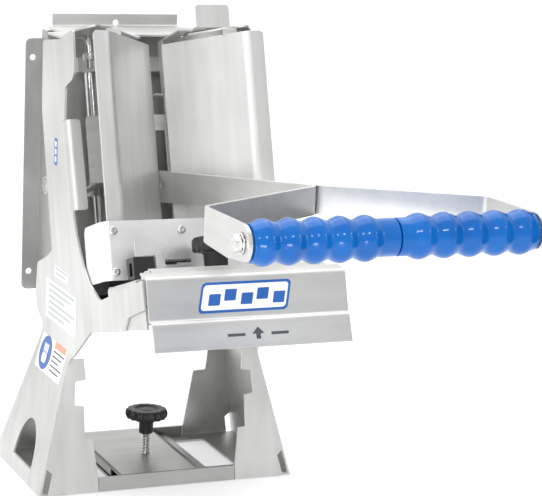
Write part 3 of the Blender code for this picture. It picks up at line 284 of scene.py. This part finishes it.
def finished(edit, name, matrix, material, sharp=32.0):
    """Object made of the edited mesh and placed by the matrix."""
    bmesh.ops.recalc_face_normals(edit, faces=edit.faces)
    edit.transform(matrix)
    mesh = bpy.data.meshes.new(name)
    edit.to_mesh(mesh)
    edit.free()
    shade(mesh, sharp)
    return new_object(name, mesh, material)


def attach(obj, body, slot, *replaced):
    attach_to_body(obj, body)
    if replaced:
        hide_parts(*replaced)
    return obj


def along(axis, origin):
    """Matrix whose local z runs along axis."""
    matrix = Z_AXIS.rotation_difference(Vector(axis).normalized()).to_matrix().to_4x4()
    matrix.translation = Vector(origin)
    return matrix


def turned(name, rings, columns, matrix, material, bore=False, sharp=32.0):
    """Solid of rings round local z; each ring is (radius or radius function, z).

    With a bore the last ring joins the first. Without one both ends are closed.
    """
    edit = bmesh.new()
    rows = []
    for radius, z in rings:
        row = []
        for column in range(columns):
            angle = 2 * math.pi * column / columns
            reach = radius(angle) if callable(radius) else radius
            row.append(edit.verts.new((reach * math.cos(angle), reach * math.sin(angle), z)))
        rows.append(row)
    following = rows[1:] + rows[:1] if bore else rows[1:]
    for low, high in zip(rows, following):
        for column in range(columns):
            after = (column + 1) % columns
            edit.faces.new((low[column], low[after], high[after], high[column]))
    if not bore:
        edit.faces.new(reversed(rows[0]))
        edit.faces.new(rows[-1])
    return finished(edit, name, matrix, material, sharp)


def round_node(node, axis):
    """Centre line point at the node's low end along axis, its length and its largest radius."""
    axis = Vector(axis).normalized()
    side = (Y_AXIS if abs(axis.x) > 0.9 else X_AXIS)
    other = axis.cross(side).normalized()
    side = other.cross(axis).normalized()
    points = [vertex.co for vertex in NODES[node].data.vertices]
    low = min(point.dot(axis) for point in points)
    high = max(point.dot(axis) for point in points)
    reach = [(min(p.dot(a) for p in points), max(p.dot(a) for p in points)) for a in (side, other)]
    middle = side * sum(reach[0]) / 2 + other * sum(reach[1]) / 2
    radius = max(reach[0][1] - reach[0][0], reach[1][1] - reach[1][0]) / 2
    return middle + axis * low, high - low, radius


def stands_for(node, rings, columns, axis, low, material, sharp=32.0):
    """Turned solid in place of a round node whose low end and axis are given."""
    made = turned(f"{node}_finish", rings, columns, along(axis, low), material, sharp=sharp)
    return attach(made, BODY_OF[node], SLOT_OF[node], node)


# CAD pieces with softened edges ---------------------------------------------------------------
SHEET_EDGE = 0.00035            # burr-free edge of the cut sheet
EDGE_WIDTHS = {"stand_base": 0.0005, "cartridge_frame": 0.0006, "pusher_block": 0.0005,
               "cartridge_latch": 0.0006, "blade_grid": 0.0}
MERGE = 0.000002                # points closer than this are one point
FLAT = math.radians(0.6)        # faces that meet at less than this are one face
CREASE = math.radians(35.0)     # edges sharper than this are rounded

FOLDED = ("side_panel_left", "side_panel_right")
FOLD_WIDTH = 0.0036             # rounding of a leg's outer corners
FOLD_LENGTH = 0.030             # shortest edge that counts as a fold
FOLD_AREA = 0.0004              # smallest face beside one, so the sheet's cut edges are left out
FOLD_ANGLES = math.radians(60), math.radians(120)
SQUARE = 0.8                    # part of a normal along an axis, for a face that looks that way


def mark_folds(mesh):
    """Weights the long outer corners where a leg's side turns into its flange."""
    edit = bmesh.new()
    edit.from_mesh(mesh)
    layer = edit.edges.layers.float.new("bevel_weight_edge")
    for edge in edit.edges:
        if len(edge.link_faces) != 2 or edge.calc_length() < FOLD_LENGTH or not edge.is_convex:
            continue
        first, second = (face.normal for face in edge.link_faces)
        across = max(abs(first.x), abs(second.x)), max(abs(first.y), abs(second.y))
        if min(across) > SQUARE and FOLD_ANGLES[0] < edge.calc_face_angle() < FOLD_ANGLES[1]:
            smaller = min(face.calc_area() for face in edge.link_faces)
            edge[layer] = 1.0 if smaller > FOLD_AREA else 0.0
    edit.to_mesh(mesh)
    edit.free()


def add_bevel(obj, name, width, segments, **settings):
    bevel = obj.modifiers.new(name, "BEVEL")
    bevel.width = width
    bevel.segments = segments
    bevel.use_clamp_overlap = True
    for key, value in settings.items():
        setattr(bevel, key, value)


def softened(node):
    """The node's own shape with its triangles merged and its hard edges slightly rounded."""
    mesh = NODES[node].data.copy()
    mesh.name = f"{node}_finish"
    edit = bmesh.new()
    edit.from_mesh(mesh)
    bmesh.ops.remove_doubles(edit, verts=edit.verts, dist=MERGE)
    bmesh.ops.dissolve_limit(edit, angle_limit=FLAT, verts=edit.verts, edges=edit.edges)
    edit.to_mesh(mesh)
    edit.free()
    for layer in list(mesh.attributes):
        if layer.name in ("custom_normal", "sharp_edge", "sharp_face"):
            mesh.attributes.remove(layer)
    obj = new_object(f"{node}_finish", mesh, material_of(node))
    shade(mesh)
    if node in FOLDED:
        mark_folds(mesh)
        add_bevel(obj, "folds", FOLD_WIDTH, 6, limit_method="WEIGHT")
    width = EDGE_WIDTHS.get(node, SHEET_EDGE)
    if width > 0:
        add_bevel(obj, "edges", width, 2, limit_method="ANGLE", angle_limit=CREASE,
                  harden_normals=True)
    return attach(obj, BODY_OF[node], SLOT_OF[node], node)


# Handle ---------------------------------------------------------------------------------------
GRIP_START, GRIP_LENGTH = 0.0006, 0.1140        # from the middle of the handle, per sleeve
GRIP_CREST, GRIP_VALLEY, GRIP_BORE = 0.0172, 0.0142, 0.0103     # radii
GRIP_COLLARS = {"left": 0.0125, "right": 0.0070}                # plain stretch at the inner end
GRIP_LIP = 0.0009               # rounding of the sleeve's ends
GRIP_BUMPS = 5
BUMP_ROWS = 14                  # rings on each bump
BUMP_POWER = 0.85               # under 1 makes the bumps fuller than a cosine
LIP_ANGLES = (math.pi / 6, math.pi / 3, math.pi / 2)


def grip_rings(collar):
    """Profile of one sleeve: bumps, a collar at its inner end, rounded lips and its bore."""
    span = GRIP_LENGTH - collar - 2 * GRIP_LIP
    rings = [(GRIP_BORE, GRIP_START), (GRIP_VALLEY - GRIP_LIP, GRIP_START)]
    rings += [(GRIP_VALLEY - GRIP_LIP * (1 - math.sin(a)), GRIP_START + GRIP_LIP * (1 - math.cos(a)))
              for a in LIP_ANGLES]
    rows = BUMP_ROWS * GRIP_BUMPS
    for row in range(rows + 1):
        t = row / rows
        swell = (0.5 - 0.5 * math.cos(2 * math.pi * GRIP_BUMPS * t)) ** BUMP_POWER
        radius = GRIP_VALLEY + (GRIP_CREST - GRIP_VALLEY) * swell
        rings.append((radius, GRIP_START + GRIP_LIP + collar + span * t))
    end = GRIP_START + GRIP_LENGTH
    rings += [(GRIP_VALLEY - GRIP_LIP * (1 - math.cos(a)), end - GRIP_LIP * (1 - math.sin(a)))
              for a in LIP_ANGLES]
    rings.append((GRIP_BORE, end))
    return rings


def grips():
    for name, side in SIDES:
        place = along(X_AXIS * side, (0.0, HANDLE_Y, HANDLE_Z))
        sleeve = turned(f"grip_sleeve_{name}", grip_rings(GRIP_COLLARS[name]), 72, place, BLUE,
                        bore=True, sharp=50.0)
        attach(sleeve, "lever", "blue_grip", f"grip_{name}")


# Fasteners ------------------------------------------------------------------------------------
BUTTON_HEIGHT = 0.0022          # of a button head
BUTTON_RIM, BUTTON_DOME = 0.18, 0.82            # shares of that height
BUTTON_FLAT, BUTTON_ARC = 0.60, 0.40            # shares of the radius in the dome's arc
BUTTON_TOP = 0.52               # share of the radius where the top turns flat
BUTTON_STEPS = 6
SHANK, SHANK_TIP = 0.57, 0.52   # shares of the head's radius
SOCKET = 0.62                   # width of the hexagon, as a share of the head's radius
SOCKET_DEPTH = 0.0011

BOLT_HEAD = 0.0048              # height of a handle bolt's head
BOLT_SHANK = 0.0039             # its radius
BOLT_FACE = 0.90                # radius inside the chamfer, as a share of the corner's

THREAD_COLUMNS = 32
TURN_ROWS = 8                   # rings on each turn of a thread


def hexagon(across):
    """Radius function of a hexagon of that width across its flats."""
    def radius(angle):
        return across / 2 / math.cos((angle % (math.pi / 3)) - math.pi / 6)
    return radius


def button_head(node, axis):
    """Domed socket head on its plain shank, if the node is long enough to have one."""
    low, length, radius = round_node(node, axis)
    axis = Vector(axis).normalized()
    seat = length - BUTTON_HEIGHT
    key = hexagon(radius * SOCKET)
    rings = []
    if seat > 0.0006:
        rings += [(radius * SHANK_TIP, 0.0), (radius * SHANK, 0.0003), (radius * SHANK, seat)]
    rings += [(radius * 0.97, seat), (radius, seat + BUTTON_HEIGHT * BUTTON_RIM)]
    for step in range(1, BUTTON_STEPS):
        a = math.pi / 2 * step / BUTTON_STEPS
        rings.append((radius * (BUTTON_FLAT + BUTTON_ARC * math.cos(a)),
                      seat + BUTTON_HEIGHT * (BUTTON_RIM + BUTTON_DOME * math.sin(a))))
    rings += [(radius * BUTTON_TOP, length), (lambda a: key(a) * 1.04, length - 0.00005),
              (key, length - 0.00025), (key, length - SOCKET_DEPTH),
              (radius * 0.08, length - SOCKET_DEPTH - 0.0002)]
    return stands_for(node, rings, 48, axis, low, FASTENER)


def front_screws():
    for place in ("upper_left", "upper_right", "lower_left", "middle"):
        button_head(f"front_screw_{place}", V_AXIS)


def handle_bolts():
    """Hex heads with a chamfered face, on the shanks that run into the handle tube."""
    for name, side in SIDES:
        node = f"handle_bolt_{name}"
        low, length, corner = round_node(node, X_AXIS * side)
        flats = hexagon(2 * corner * math.cos(math.pi / 6))
        seat = length - BOLT_HEAD
        inner = corner * BOLT_FACE

        def chamfer(angle):
            return min(flats(angle), inner)

        rings = [(BOLT_SHANK * 0.85, 0.0), (BOLT_SHANK, 0.0006), (BOLT_SHANK, seat),
                 (chamfer, seat), (flats, seat + 0.0004), (flats, length - 0.0006),
                 (chamfer, length - 0.0001), (inner * 0.9, length),
                 (inner * 0.45, length - 0.0001)]
        stands_for(node, rings, 72, X_AXIS * side, low, FASTENER)


def threaded(node, axis, plain, pitch, depth):
    """Stud with a rolled thread below its plain neck; plain is the neck's length."""
    low, length, radius = round_node(node, axis)
    rows = int((length - plain) / pitch * TURN_ROWS)

    def thread(z):
        def reach(angle):
            turn = (z / pitch - angle / (2 * math.pi)) % 1.0
            ease = min(1.0, z / pitch, (length - plain - z) / pitch)
            return radius - depth * max(0.0, ease) * (0.5 + 0.5 * math.cos(2 * math.pi * turn))
        return reach

    rings = [(radius * 0.72, 0.0)]
    rings += [(thread((length - plain) * row / rows), 0.0003 + (length - plain) * row / rows)
              for row in range(rows + 1)]
    rings += [(radius, length - 0.0001), (radius * 0.9, length)]
    return stands_for(node, rings, THREAD_COLUMNS, axis, low, FASTENER)


# Knobs ----------------------------------------------------------------------------------------
# Rows of a knob's profile: share of its radius, share of the flute's depth, and a height, which is
# above the hub for the underside and below the top for the rim. The dish has no flutes.
KNOB_HUB = ((0.96, 0.0), (1.0, 0.0008))         # share of the hub's radius, height
KNOB_NECK = ((1.04, -0.0015), (1.25, 0.0004))   # the same, from the hub's top
KNOB_UNDER = ((0.80, 0.4, 0.0006), (0.93, 0.8, 0.0009), (0.985, 1.0, 0.0022), (1.0, 1.0, 0.0045))
KNOB_RIM = ((1.0, 1.0, 0.0040), (0.985, 1.0, 0.0022), (0.95, 0.9, 0.0010), (0.90, 0.5, 0.0003))
KNOB_DISH = ((0.78, 0.0), (0.62, 0.0), (0.57, 0.0004), (0.54, 0.0013), (0.30, 0.0015),
             (0.24, 0.0009), (0.10, 0.0007))
KNOB_BORE = 0.0034              # radius of the stud's hole
FLUTE_POWER = 0.75              # under 1 makes the flutes wide and the lobes narrow


def knob(node, axis, hub_radius, base, lobes, flute):
    """Fluted knob: rounded flutes, a domed rim, a dished top and a tapered hub of height base."""
    low, length, radius = round_node(node, axis)

    def lobed(reach, depth):
        return lambda a: reach - depth * (0.5 - 0.5 * math.cos(lobes * a)) ** FLUTE_POWER

    rings = [(KNOB_BORE, 0.0)]
    rings += [(hub_radius * share, height) for share, height in KNOB_HUB]
    rings += [(hub_radius * share, base + height) for share, height in KNOB_NECK]
    rings += [(lobed(radius * share, flute * cut), base + height)
              for share, cut, height in KNOB_UNDER]
    rings += [(lobed(radius * share, flute * cut), length - height)
              for share, cut, height in KNOB_RIM]
    rings += [(radius * share, length - height) for share, height in KNOB_DISH]
    return stands_for(node, rings, lobes * 10, axis, low, BLACK, sharp=60.0)


# Labels and badges ------------------------------------------------------------------------------
FILM = 0.00018                  # thickness of a label's film
INK = 0.00006                   # thickness of the print on it
UNDER_FILM = 0.00004            # gap between a surface and its film
LINE_ENDS = (0.0, 0.16, 0.38)   # share of its length that a line of print stops short by
LINE_DROP, LINE_WEIGHT = 0.4, 0.3               # shares of the pitch of the lines

# Places of labels in their surface, as x0, x1, y0, y1.
SMALL_LABEL = (-0.0240, 0.0200, 0.1925, 0.2035)
RATING_LABEL = (-0.0500, 0.0449, 0.1480, 0.1865)
SAFETY_LABEL = (-0.0550, 0.0215, 0.1015, 0.1385)
SAFETY_BAND = (-0.0140, 0.0190, 0.1290, 0.1365)
SAFETY_PALM = (-0.0420, -0.0290, 0.1090, 0.1190)
PANEL_BADGE = (-0.0325, -0.0240, 0.2980, 0.3235)
SIGN_CENTRE, SIGN_RADIUS = (-0.0350, 0.1190), 0.0165
FINGER_X, FINGER_PITCH, FINGER_WIDTH = -0.0415, 0.0034, 0.0024
FINGER_LOW, FINGER_HIGH = 0.1195, 0.1280
MARK_X0, MARK_X1 = -0.0305, -0.0260
MARK_LOW, MARK_PITCH, MARK_HEIGHT = 0.3010, 0.0072, 0.0052

# The lift guard's badge and the marks on its flap.
GUARD_FACE_V, FLAP_V, FLAP_W = 0.2872, 0.2930, 0.1000
FLAP_DROP_V, FLAP_RISE_W = -0.0020, 0.0233      # the flap's slope
BADGE_EDGE = (-0.0480, 0.0400, 0.1310, 0.1570)
BADGE_FIELD = (-0.0455, 0.0373, 0.1333, 0.1547)
CUBE_X, CUBE_PITCH, CUBE_WIDTH, CUBE_HEIGHT = -0.0385, 0.0148, 0.0128, 0.0098
CUBE_TOPS = (0.1470, 0.1507)
ARROW_X, ARROW_LOW, ARROW_NECK, ARROW_TIP = 0.0035, 0.0070, 0.0115, 0.0175
ARROW_SHAFT, ARROW_HEAD = 0.0020, 0.0055        # half widths
BAR_OFFSET, BAR_HALF, BAR_LOW, BAR_HIGH = 0.0200, 0.0080, 0.0100, 0.0125


def plate(name, outline, thickness, matrix, material, corner):
    """Thin film with rounded corners; outline is its corners in the matrix's local plane."""
    edit = bmesh.new()
    face = edit.faces.new([edit.verts.new((x, y, 0.0)) for x, y in outline])
    if face.normal.z < 0:
        face.normal_flip()
    if corner > 0:
        bmesh.ops.bevel(edit, geom=list(edit.verts), offset=corner, segments=5, affect="VERTICES",
                        profile=0.5)
    top = bmesh.ops.extrude_face_region(edit, geom=list(edit.faces))
    moved = [item for item in top["geom"] if isinstance(item, bmesh.types.BMVert)]
    bmesh.ops.translate(edit, verts=moved, vec=(0.0, 0.0, thickness))
    return finished(edit, name, matrix, material)


def rectangle(x0, x1, y0, y1):
    return [(x0, y0), (x1, y0), (x1, y1), (x0, y1)]


def lozenge(x0, x1, low, high, lean):
    """Four-sided badge outline whose ends lean forward."""
    return [(x0, low), (x1 - lean, low), (x1, high), (x0 + lean, high)]


def disc(centre, radius, count=40):
    return [(centre[0] + radius * math.cos(2 * math.pi * step / count),
             centre[1] + radius * math.sin(2 * math.pi * step / count)) for step in range(count)]


def plane(origin, right, up):
    """Matrix whose local x and y lie in a surface, and whose local z points out of it."""
    right, up = Vector(right).normalized(), Vector(up).normalized()
    matrix = Matrix((right, up, right.cross(up))).transposed().to_4x4()
    matrix.translation = Vector(origin)
    return matrix


PANEL_SIDE = plane((-PANEL_X, 0, 0), -Y_AXIS, Z_AXIS)
LEG_SIDE = plane((-FOOT_X, 0, 0), -Y_AXIS, (FOOT_X - PANEL_X, 0, FLARE_Z))
GUARD_FACE = plane(vw(GUARD_FACE_V, 0.0), X_AXIS, W_AXIS)
FLAP_FACE = plane(vw(FLAP_V, FLAP_W), X_AXIS, V_AXIS * FLAP_DROP_V + W_AXIS * FLAP_RISE_W)
FILM_SLOTS = {"label_film": "white_nylon", "label_salmon": "white_nylon",
              "label_blue": "blue_grip", "label_ink": "black_plastic",
              "label_grey": "white_nylon", "label_pale_ink": "white_nylon"}


def film(name, outline, surface, layer, material, body="root", corner=0.0):
    """Printed film or ink on a surface; layer 0 is the film and higher layers lie on it."""
    lift = UNDER_FILM + (FILM + INK * (layer - 1) if layer else 0.0)
    made = plate(name, outline, INK if layer else FILM,
                 surface @ Matrix.Translation((0.0, 0.0, lift)), material, corner)
    return attach(made, body, FILM_SLOTS[material.name])


def print_lines(name, surface, x0, x1, top, rows, pitch, ink):
    """Rows of plain bars that stand for small print; some rows end early."""
    for row in range(rows):
        end = x1 - (x1 - x0) * LINE_ENDS[row % 3]
        low = top - pitch * (row + LINE_DROP)
        film(f"{name}_{row}", rectangle(x0, end, low, low + pitch * LINE_WEIGHT), surface, 1, ink)


def rating_labels():
    """Two grey labels with rows of small print on the left panel."""
    film("label_small", rectangle(*SMALL_LABEL), PANEL_SIDE, 0, LABEL_GREY, corner=0.0015)
    print_lines("label_small_line", PANEL_SIDE, -0.0200, 0.0160, top=0.2022, rows=2,
                pitch=0.0045, ink=PALE_INK)
    film("label_rating", rectangle(*RATING_LABEL), PANEL_SIDE, 0, LABEL_GREY, corner=0.0020)
    print_lines("label_rating_line", PANEL_SIDE, -0.0400, 0.0390, top=0.1835, rows=6,
                pitch=0.0057, ink=PALE_INK)


def safety_label():
    """White label on the left leg: a round sign with a hand, a band and small print."""
    film("label_safety", rectangle(*SAFETY_LABEL), LEG_SIDE, 0, LABEL, corner=0.0020)
    film("label_safety_sign", disc(SIGN_CENTRE, SIGN_RADIUS), LEG_SIDE, 1, LABEL_BLUE)
    film("label_safety_palm", rectangle(*SAFETY_PALM), LEG_SIDE, 2, LABEL, corner=0.0030)
    for finger in range(4):
        x = FINGER_X + FINGER_PITCH * finger
        film(f"label_safety_finger_{finger}",
             rectangle(x, x + FINGER_WIDTH, FINGER_LOW, FINGER_HIGH), LEG_SIDE, 2, LABEL,
             corner=0.0010)
    film("label_safety_band", rectangle(*SAFETY_BAND), LEG_SIDE, 1, LABEL_RED)
    print_lines("label_safety_line", LEG_SIDE, -0.0140, 0.0190, top=0.1270, rows=5,
                pitch=0.0046, ink=LABEL_INK)


def panel_badge():
    """Small blue badge with three plain marks, high on the left panel."""
    film("badge_small", rectangle(*PANEL_BADGE), PANEL_SIDE, 0, LABEL_BLUE, corner=0.0015)
    for mark in range(3):
        low = MARK_LOW + MARK_PITCH * mark
        film(f"badge_small_mark_{mark}", rectangle(MARK_X0, MARK_X1, low, low + MARK_HEIGHT),
             PANEL_SIDE, 1, LABEL, corner=0.0008)


def guard_badge():
    """Plain badge on the lift guard, with cubes for diced produce."""
    film("badge_edge", lozenge(*BADGE_EDGE, lean=0.006), GUARD_FACE, 0, LABEL_BLUE,
         "lift_guard", corner=0.0040)
    film("badge_field", lozenge(*BADGE_FIELD, lean=0.005), GUARD_FACE, 1, LABEL,
         "lift_guard", corner=0.0030)
    for column in range(5):
        x = CUBE_X + CUBE_PITCH * column
        high = CUBE_TOPS[column % 2]
        film(f"badge_cube_{column}", lozenge(x, x + CUBE_WIDTH, high - CUBE_HEIGHT, high, 0.0022),
             GUARD_FACE, 2, LABEL_BLUE, "lift_guard", corner=0.0008)


def flap_marks():
    """An arrow between two bars on the lift guard's flap."""
    left, right = ARROW_X - ARROW_SHAFT, ARROW_X + ARROW_SHAFT
    arrow = [(left, ARROW_LOW), (right, ARROW_LOW), (right, ARROW_NECK),
             (ARROW_X + ARROW_HEAD, ARROW_NECK), (ARROW_X, ARROW_TIP),
             (ARROW_X - ARROW_HEAD, ARROW_NECK), (left, ARROW_NECK)]
    film("flap_arrow", arrow, FLAP_FACE, 0, LABEL_INK, "lift_guard")
    for side in (-1, 1):
        x = ARROW_X + side * BAR_OFFSET
        film(f"flap_bar_{side + 1}", rectangle(x - BAR_HALF, x + BAR_HALF, BAR_LOW, BAR_HIGH),
             FLAP_FACE, 0, LABEL_INK, "lift_guard")


# Build ------------------------------------------------------------------------------------------
rating_labels()
safety_label()
panel_badge()
guard_badge()
flap_marks()
grips()
front_screws()
handle_bolts()
for screw in ("latch_screw_inner", "latch_screw_outer"):
    button_head(screw, W_AXIS)
threaded("hold_down_stud", Z_AXIS, plain=0.0200, pitch=0.0028, depth=0.0012)
threaded("clamp_stud", W_AXIS, plain=0.0140, pitch=0.0015, depth=0.0005)
knob("hold_down_knob", Z_AXIS, hub_radius=0.0068, base=0.0145, lobes=16, flute=0.0021)
knob("clamp_knob", W_AXIS, hub_radius=0.0105, base=0.0215, lobes=12, flute=0.0031)
for node in sorted(NODES):
    if not NODES[node].hide_render:
        softened(node)


# Camera, light and floor --------------------------------------------------------------------------
CAMERA_PLACE = (-0.6620, -1.7853, 0.6121)
CAMERA_AZIMUTH, CAMERA_PITCH, CAMERA_ROLL = (math.radians(a) for a in (23.6, 11.5, 2.5))
LENS, SENSOR = 135.6, 36.0      # millimetres

MIDDLE = (0.0, -0.1, 0.22)      # of the machine, for the lights
# Lights: name, place, aim, size and power in watts.
LIGHTS = (("key", (-1.5, -1.5, 1.5), MIDDLE, (0.7, 0.9), 9.0),
          ("fill", (1.5, -1.5, 0.9), MIDDLE, (0.25, 0.9), 4.0),
          ("low", (-1.3, -0.7, 0.25), (0.1, 0.02, 0.10), (0.8, 0.4), 2.6),
          ("stand", (-0.55, -1.50, 0.20), (0.09, 0.03, 0.07), (0.3, 0.2), 2.0),
          ("spark", (-0.5, -2.2, 1.6), (0.0, -0.49, 0.33), (0.25, 0.25), 4.0),
          ("top", (0.0, 0.6, 2.2), (0.0, 0.6, 0.0), (2.4, 2.4), 30.0))

ROOM_BRIGHTNESS = 0.64          # the room behind the camera
SWEEP_BRIGHTNESS = 1.05         # the white backdrop behind the object
ROOM_Y, SWEEP_Y = -0.9, 0.3     # directions, along Y, where the one and the other begin
FLOOR_SIZE = 6.0
UNDER_FEET = 0.0005             # gap between the floor and the lowest point
CARD_PLACE = (0.60, -0.35, 0.02)


def camera():
    """Camera from the front left, slightly above, with the horizon a little tipped."""
    azimuth, pitch, roll = CAMERA_AZIMUTH, CAMERA_PITCH, CAMERA_ROLL
    forward = Vector((math.sin(azimuth) * math.cos(pitch), math.cos(azimuth) * math.cos(pitch),
                      -math.sin(pitch)))
    level = Vector((math.cos(azimuth), -math.sin(azimuth), 0.0))
    upward = level.cross(forward)
    right = level * math.cos(roll) + upward * math.sin(roll)
    up = upward * math.cos(roll) - level * math.sin(roll)
    data = bpy.data.cameras.new("camera")
    data.lens = LENS
    data.sensor_width = SENSOR
    data.sensor_fit = "HORIZONTAL"
    obj = bpy.data.objects.new("camera", data)
    obj.matrix_world = Matrix((right, up, -forward)).transposed().to_4x4()
    obj.location = CAMERA_PLACE
    bpy.context.scene.collection.objects.link(obj)
    bpy.context.scene.camera = obj


def area_light(name, location, target, size, energy):
    data = bpy.data.lights.new(name, "AREA")
    data.shape = "RECTANGLE"
    data.size, data.size_y = size
    data.energy = energy
    obj = bpy.data.objects.new(name, data)
    obj.location = location
    aim = Vector(target) - Vector(location)
    obj.rotation_euler = aim.to_track_quat("-Z", "Y").to_euler()
    bpy.context.scene.collection.objects.link(obj)


def surroundings():
    """A white sweep behind the object and a darker room behind the camera."""
    bpy.context.scene.view_settings.view_transform = "Standard"
    world = bpy.data.worlds.new("studio")
    bpy.context.scene.world = world
    world.use_nodes = True
    tree = world.node_tree
    direction = tree.nodes.new("ShaderNodeTexCoord").outputs["Generated"]
    split = tree.nodes.new("ShaderNodeSeparateXYZ")
    tree.links.new(direction, split.inputs["Vector"])
    ramp = tree.nodes.new("ShaderNodeMapRange")
    ramp.inputs["From Min"].default_value = ROOM_Y
    ramp.inputs["From Max"].default_value = SWEEP_Y
    ramp.inputs["To Min"].default_value = ROOM_BRIGHTNESS
    ramp.inputs["To Max"].default_value = SWEEP_BRIGHTNESS
    tree.links.new(split.outputs["Y"], ramp.inputs["Value"])
    tree.links.new(ramp.outputs["Result"], tree.nodes["Background"].inputs["Strength"])
    tree.nodes["Background"].inputs["Color"].default_value = (1.0, 1.0, 1.0, 1.0)


def ground():
    """Pale floor that glows a little, so it stays near white in the picture."""
    pale = Material("pale_floor")
    pale.tint(pale.noise(pale.place, scale=3.0), (0.62, 0.62, 0.62), (0.66, 0.66, 0.66))
    pale.set(Roughness=0.8, Emission_Color=(1.0, 1.0, 1.0, 1.0), Emission_Strength=0.42)
    edit = bmesh.new()
    bmesh.ops.create_grid(edit, x_segments=1, y_segments=1, size=FLOOR_SIZE)
    mesh = bpy.data.meshes.new("floor")
    edit.to_mesh(mesh)
    edit.free()
    floor = new_object("floor", mesh, pale.material)
    floor.location.z = CAD_BOX[0].z - UNDER_FEET


def dark_card():
    """Dark card at the right that only reflections see."""
    cloth = Material("flag_cloth")
    cloth.tint(cloth.noise(cloth.place, scale=40.0), (0.02, 0.02, 0.02), (0.03, 0.03, 0.03))
    card = plate("flag", rectangle(-0.60, 0.60, 0.0, 0.60), 0.004,
                 plane(CARD_PLACE, Y_AXIS, Z_AXIS), cloth.material, corner=0.0)
    card.visible_camera = False
    card.visible_diffuse = False
    card.visible_shadow = False


camera()
surroundings()
for light in LIGHTS:
    area_light(*light)
ground()
dark_card()
